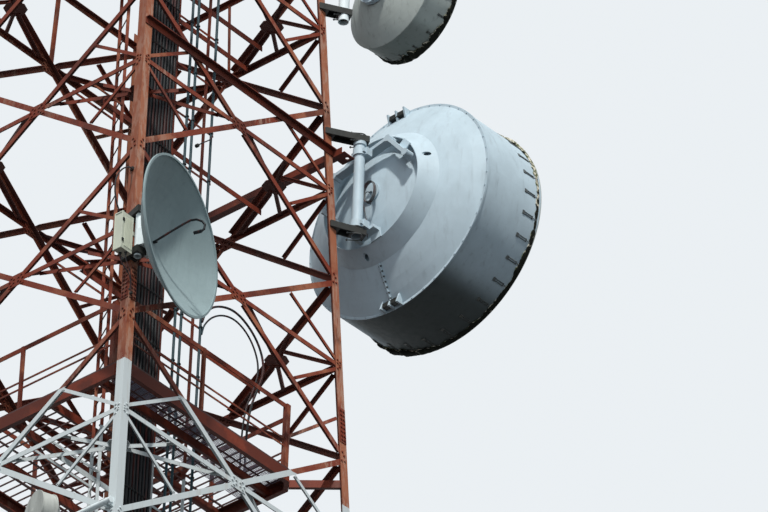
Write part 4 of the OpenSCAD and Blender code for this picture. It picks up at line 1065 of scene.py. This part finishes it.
class MAST_OT_loose_leads(bpy.types.Operator):
    """Leads that hang between the radio box, the leg, the feeder run and the deck"""

    bl_idname = "mast.loose_leads"
    bl_label = "Hang the leads"

    def execute(self, context):
        c = context.scene.mast_cables
        for name, route, share in LEADS:
            hang_lead(name, smooth_path(route), c.lead_d * share, "black_jacket")
        before, end = (Vector(point) for point in PIGTAIL[-2:])
        plug = Shape()
        plug.turned(CONNECTOR, 16, standing(end, (end - before).normalized()))
        connector = plug.piece("pigtail_connector", "dark_steel", "dark_steel")
        hang_lead("pigtail", smooth_path(PIGTAIL), c.lead_d * PIGTAIL_SHARE, "black_jacket")
        self.fittings()
        return {"FINISHED"}

    def fittings(self):
        """Cable glands where the leads enter the radio box, and clips where they reach the leg."""
        shape = Shape()
        for path, way in ((RADIO_LEAD, 1), (RADIO_TAILS[0], -1), (RADIO_TAILS[1], -1)):
            place = Matrix.Translation(path[0]) @ Matrix.Diagonal((1, 1, way, 1))
            wide, seat = GLAND_NUT
            foot, head, tall = GLAND_SLEEVE
            shape.prism(wide, 0.0, seat, 6, place)
            shape.prism(foot, seat, tall, 16, place, top_radius=head)
        x, y, z = RADIO_LEAD[-1]
        shape.block((x - 0.030, y - 0.016, z - 0.025), (x + 0.030, y + 0.035, z + 0.025))
        for tail in RADIO_TAILS:
            x, y, z = tail[-1]
            shape.block((x - 0.022, y - 0.014, z - 0.016), (x + 0.022, y + 0.014, z + 0.016))
        shape.piece("lead_fittings", "dark_steel", "dark_steel", bevel=0.002)


# Width of the radio box's door, depth of the box, and its cooling ribs
DOOR_WIDE, BOX_DEEP, RIBS = 0.150, 0.230, 6


class MAST_OT_radio_trim(bpy.types.Operator):
    """Door lip, hinges, latches and cooling ribs of the radio box"""

    bl_idname = "mast.radio_trim"
    bl_label = "Trim the radio box"

    def execute(self, context):
        low, high = corners("radio_box")
        east, west, south = high.x, high.x - DOOR_WIDE, low.y
        lip, ribs, hardware = Shape(), Shape(), Shape()
        for x0, x1, z0, z1 in ((west - 0.006, east + 0.006, low.z - 0.006, low.z + 0.014),
                               (west - 0.006, east + 0.006, high.z - 0.014, high.z + 0.008),
                               (west - 0.006, west + 0.012, low.z + 0.014, high.z - 0.014),
                               (east - 0.012, east + 0.006, low.z + 0.014, high.z - 0.014)):
            lip.block((x0, south - 0.010, z0), (x1, south + 0.022, z1))
        for n in range(RIBS):
            y = south + 0.055 + n * (BOX_DEEP - 0.080) / (RIBS - 1)
            ribs.block((east, y - 0.003, low.z + 0.050), (east + 0.016, y + 0.003, high.z - 0.070))
        for z in (low.z + 0.140, high.z - 0.140):
            hardware.block((east + 0.004, south - 0.006, z - 0.024), (east + 0.018, south + 0.034, z + 0.024))
            hardware.prism(0.006, -0.030, 0.030, 12, Matrix.Translation((west - 0.010, south + 0.006, z)))
        lip.piece("radio_door_lip", "cream_case", "cream_case", bevel=0.004)
        ribs.piece("radio_cooling_ribs", "cream_case", "cream_case", bevel=0.001)
        hardware.piece("radio_latches", "dark_steel", "dark_steel", bevel=0.002)
        return {"FINISHED"}


# The coil on the large dish's hub: its middle, half width and half height in the dish's frame
COIL_MIDDLE, COIL_WIDE, COIL_TALL = (0.070, 0.075), 0.115, 0.190
# Its turns, the points of a turn, and the spacing of the turns in diameters of the lead
COIL_TURNS, COIL_STEPS, COIL_SPACING = 4, 20, 1.15
# The lead's diameter as a share of the common one's
COIL_SHARE = 0.6
# Distance of the hub's back behind the reflector's deepest point, and of the coil's first turn behind the hub
HUB_BACK, COIL_BACK = 0.030, 0.060
# The lead's way from the hub to the coil, measured from the hub's back
COIL_LEAD_IN = ((-0.012, -0.008, 0.0), (-0.020, -0.010, -0.025), (-0.038, 0.004, -0.048),
                (-0.047, 0.035, -0.056))
# Its way down the bowl to the back ring, measured from the coil's end
COIL_RUN_DOWN = ((0.003, 0.070, 0.002), (0.015, 0.180, 0.012), (0.040, 0.340, 0.030), (0.070, 0.520, 0.045),
                 (0.095, 0.700, 0.050), (0.105, 0.840, 0.045))
# Where the ties hold the coil, in degrees round it, half a tie's width and depth, and its reach past the coil
COIL_TIES, TIE_HALF, TIE_DEEP, TIE_PAST = (95, -60), 0.006, 0.010, 0.010
# Distance of a tie's front end behind the hub
TIE_FRONT = 0.040


class MAST_OT_hub_coil(bpy.types.Operator):
    """Spare length of the large dish's lead, coiled on its hub, and its run down to the back ring"""

    bl_idname = "mast.hub_coil"
    bl_label = "Coil the hub's lead"

    def execute(self, context):
        place = dish_frame(context.scene.mast_sizes)
        lead = context.scene.mast_cables.lead_d * COIL_SHARE
        hub = -context.scene.mast_dish.depth - HUB_BACK
        path = [(x, y, hub + z) for x, y, z in COIL_LEAD_IN]
        for n in range(COIL_TURNS * COIL_STEPS + 1):
            x, y = self.round_coil(math.pi - 2 * math.pi * n / COIL_STEPS)
            path.append((x, y, hub - COIL_BACK - COIL_SPACING * lead * n / COIL_STEPS))
        end = path[-1]
        path += [(end[0] + x, end[1] + y, end[2] + z) for x, y, z in COIL_RUN_DOWN]
        hang_lead("hub_lead", [place @ p for p in smooth_path(path, 2)], lead, "grey_jacket")
        back = hub - COIL_BACK - COIL_SPACING * lead * COIL_TURNS
        ties = Shape()
        for a in map(math.radians, COIL_TIES):
            along = math.atan2(COIL_TALL * math.cos(a), -COIL_WIDE * math.sin(a))
            turn = Matrix.Translation((*self.round_coil(a), 0)) @ Matrix.Rotation(along, 4, "Z")
            ties.block((-TIE_HALF, -TIE_DEEP, back - TIE_PAST), (TIE_HALF, TIE_DEEP, hub - TIE_FRONT),
                       place @ turn)
        ties.piece("hub_lead_ties", "dark_steel", "dark_steel")
        return {"FINISHED"}

    def round_coil(self, a):
        """Place on the coil's oval at an angle, in the dish's frame."""
        return COIL_MIDDLE[0] + COIL_WIDE * math.cos(a), COIL_MIDDLE[1] + COIL_TALL * math.sin(a)


# Pipes as (node, node of the brackets that hold it, radius)
PIPES = (("large_mount_pipe", "large_mount_brackets", 0.084),
         ("upper_mount_pipe", "upper_mount_brackets", 0.060))
# Distance of an arm's middle from the brackets' ends, and of its two U-bolts from that middle
ARM_MIDDLE, U_BOLT_ASIDE = 0.055, 0.068
# Radius of a U-bolt's rod, and the distance of the rod's middle from the pipe's skin
U_BOLT_RADIUS, U_BOLT_GAP = 0.009, 0.010
# How far a U-bolt's ends and nuts lie back from the pipe's middle, and the thread that its nuts fit
U_BOLT_LEG, U_BOLT_NUT, U_BOLT_THREAD = 0.16, 0.135, 0.020
# The way away from the northeast leg, and the way across it
OUTWARD, ACROSS = Vector((0.7071, 0.7071, 0)), Vector((-0.7071, 0.7071, 0))


class MAST_OT_pipe_bolts(bpy.types.Operator):
    """U-bolts that hold the large and upper pipes to their arms, with their nuts"""

    bl_idname = "mast.pipe_bolts"
    bl_label = "Bolt the pipes"

    def execute(self, context):
        shape = Shape()
        for pipe, arms, radius in PIPES:
            low, high = corners(pipe)
            arm_low, arm_high = corners(arms)
            x, y = (low.x + high.x) / 2, (low.y + high.y) / 2
            for z in (arm_low.z + ARM_MIDDLE, arm_high.z - ARM_MIDDLE):
                for aside in (-U_BOLT_ASIDE, U_BOLT_ASIDE):
                    self.u_bolt(shape, Vector((x, y, z + aside)), radius + U_BOLT_GAP)
        shape.piece("pipe_u_bolts", "sprung_steel")
        return {"FINISHED"}

    def u_bolt(self, shape, at, r):
        """Round the pipe on the side away from the leg, with its legs back along the arm."""
        half_turn = round_angles(24)[:13]
        path = [at + ACROSS * r - OUTWARD * U_BOLT_LEG]
        path += [at + ACROSS * r * math.cos(a) + OUTWARD * r * math.sin(a) for a in half_turn]
        path.append(at - ACROSS * r - OUTWARD * U_BOLT_LEG)
        shape.tube(path, U_BOLT_RADIUS)
        for side in (-1, 1):
            shape.bolt(at + ACROSS * side * r - OUTWARD * U_BOLT_NUT, -OUTWARD, U_BOLT_THREAD)


# Round floor of the studio
FLOOR_RADIUS, FLOOR_SIDES, FLOOR_THICK = 9.5, 96, 0.05
# The sky's light by height, as (dimmest below, brightest above, least strength, most strength)
SKY_RISE = (-0.4, 0.7, 0.03, 0.64)
# Lamps as (name, strength, tint, spread in degrees, way that the light goes)
LAMPS = (("key", 3.4, (1.0, 0.97, 0.93), 4.0, (-0.45, 0.50, -0.74)),
         ("fill", 0.70, (0.85, 0.92, 1.0), 40.0, (-0.62, 0.78, 0.0)))
# The photograph's viewpoint: focal length and sensor width in millimetres, how far the camera sees, its
# place, and the ways right and back
LENS, SENSOR, SIGHT = 335.03, 36.0, 500.0
VIEWPOINT = (60.736, -62.011, -45.921)
VIEW_RIGHT, VIEW_BACK = (0.75877, 0.65066, 0.03026), (0.53959, -0.60186, -0.58874)


class MAST_OT_stage(bpy.types.Operator):
    """Floor, background, lights and the camera at the photograph's viewpoint"""

    bl_idname = "mast.stage"
    bl_label = "Set the stage"

    def execute(self, context):
        c = context.scene.mast_colours
        n = Finish("floor_paint")
        tone = n.mix(n.spots(0.3, 0.7, 0.5, 2.0), [v * 0.985 for v in c.floor], c.floor)
        floor = Shape()
        floor.prism(FLOOR_RADIUS, -FLOOR_THICK, 0.0, FLOOR_SIDES)
        floor.mesh("floor", n.done(n.mix(n.background_rays(), c.ground, tone), 0.9))
        self.world(context, c)
        self.lamps(context)
        self.camera(context)
        context.scene.view_settings.view_transform = "Standard"
        return {"FINISHED"}

    def world(self, context, c):
        """Soft light that comes mostly from above, and the pale background that is seen instead of it."""
        world = bpy.data.worlds.new("studio")
        context.scene.world = world
        world.use_nodes = True
        n = Tree(world.node_tree)
        light = n.tree.nodes["Background"]
        light.inputs["Color"].default_value = (*c.sky, 1.0)
        height = n.coordinate(n.new("ShaderNodeTexCoord").outputs["Generated"], "Z")
        n.link(n.step(height, *SKY_RISE, "LINEAR"), light.inputs["Strength"])
        shown = n.new("ShaderNodeBackground")
        shown.inputs["Color"].default_value = (*c.backdrop, 1.0)
        blend = n.new("ShaderNodeMixShader")
        n.link(n.background_rays(), blend.inputs["Fac"])
        n.link(light.outputs["Background"], blend.inputs[1])
        n.link(shown.outputs["Background"], blend.inputs[2])
        n.link(blend.outputs["Shader"], n.tree.nodes["World Output"].inputs["Surface"])

    def lamps(self, context):
        for name, strength, tint, spread, way in LAMPS:
            data = bpy.data.lights.new(name, "SUN")
            data.energy = strength
            data.color = tint
            data.angle = math.radians(spread)
            lamp = bpy.data.objects.new(name, data)
            context.scene.collection.objects.link(lamp)
            lamp.rotation_mode = "QUATERNION"
            lamp.rotation_quaternion = Vector(way).to_track_quat("-Z", "Y")

    def camera(self, context):
        data = bpy.data.cameras.new("viewpoint")
        data.sensor_width = SENSOR
        data.lens = LENS
        data.clip_end = SIGHT
        made = bpy.data.objects.new("viewpoint", data)
        context.scene.collection.objects.link(made)
        right, back = Vector(VIEW_RIGHT).normalized(), Vector(VIEW_BACK).normalized()
        up = back.cross(right).normalized()
        place = Matrix((right, up, back)).transposed().to_4x4()
        place.translation = Vector(VIEWPOINT)
        made.matrix_world = place
        context.scene.camera = made


class MAST_PT_panel(bpy.types.Panel):
    """Buttons and settings of the mast's looks"""

    bl_idname = "MAST_PT_panel"
    bl_label = "Lattice mast"
    bl_space_type = "VIEW_3D"
    bl_region_type = "UI"
    bl_category = "Mast"

    def draw(self, context):
        for operator in OPERATORS:
            self.layout.operator(operator.bl_idname)
        for name, group in SETTINGS:
            for key in group.__annotations__:
                self.layout.prop(getattr(context.scene, name), key)


OPERATORS = (MAST_OT_paint, MAST_OT_face_bolts, MAST_OT_splice_bolts, MAST_OT_deck_mesh,
             MAST_OT_feeder_clamps, MAST_OT_radome_edge, MAST_OT_reflector_trim, MAST_OT_pipe_bolts,
             MAST_OT_radio_trim, MAST_OT_hub_coil, MAST_OT_loose_leads, MAST_OT_stage)
CLASSES = tuple(group for _, group in SETTINGS) + OPERATORS + (MAST_PT_panel,)


def register():
    for item in CLASSES:
        bpy.utils.register_class(item)
    for name, group in SETTINGS:
        setattr(bpy.types.Scene, name, PointerProperty(type=group))


def unregister():
    for name, _ in SETTINGS:
        delattr(bpy.types.Scene, name)
    for item in reversed(CLASSES):
        bpy.utils.unregister_class(item)


def main():
    register()
    bpy.ops.mast.paint()
    bpy.ops.mast.face_bolts()
    bpy.ops.mast.splice_bolts()
    bpy.ops.mast.deck_mesh()
    bpy.ops.mast.feeder_clamps()
    bpy.ops.mast.radome_edge()
    bpy.ops.mast.reflector_trim()
    bpy.ops.mast.pipe_bolts()
    bpy.ops.mast.radio_trim()
    bpy.ops.mast.hub_coil()
    bpy.ops.mast.loose_leads()
    bpy.ops.mast.stage()


if __name__ == "__main__":
    main()
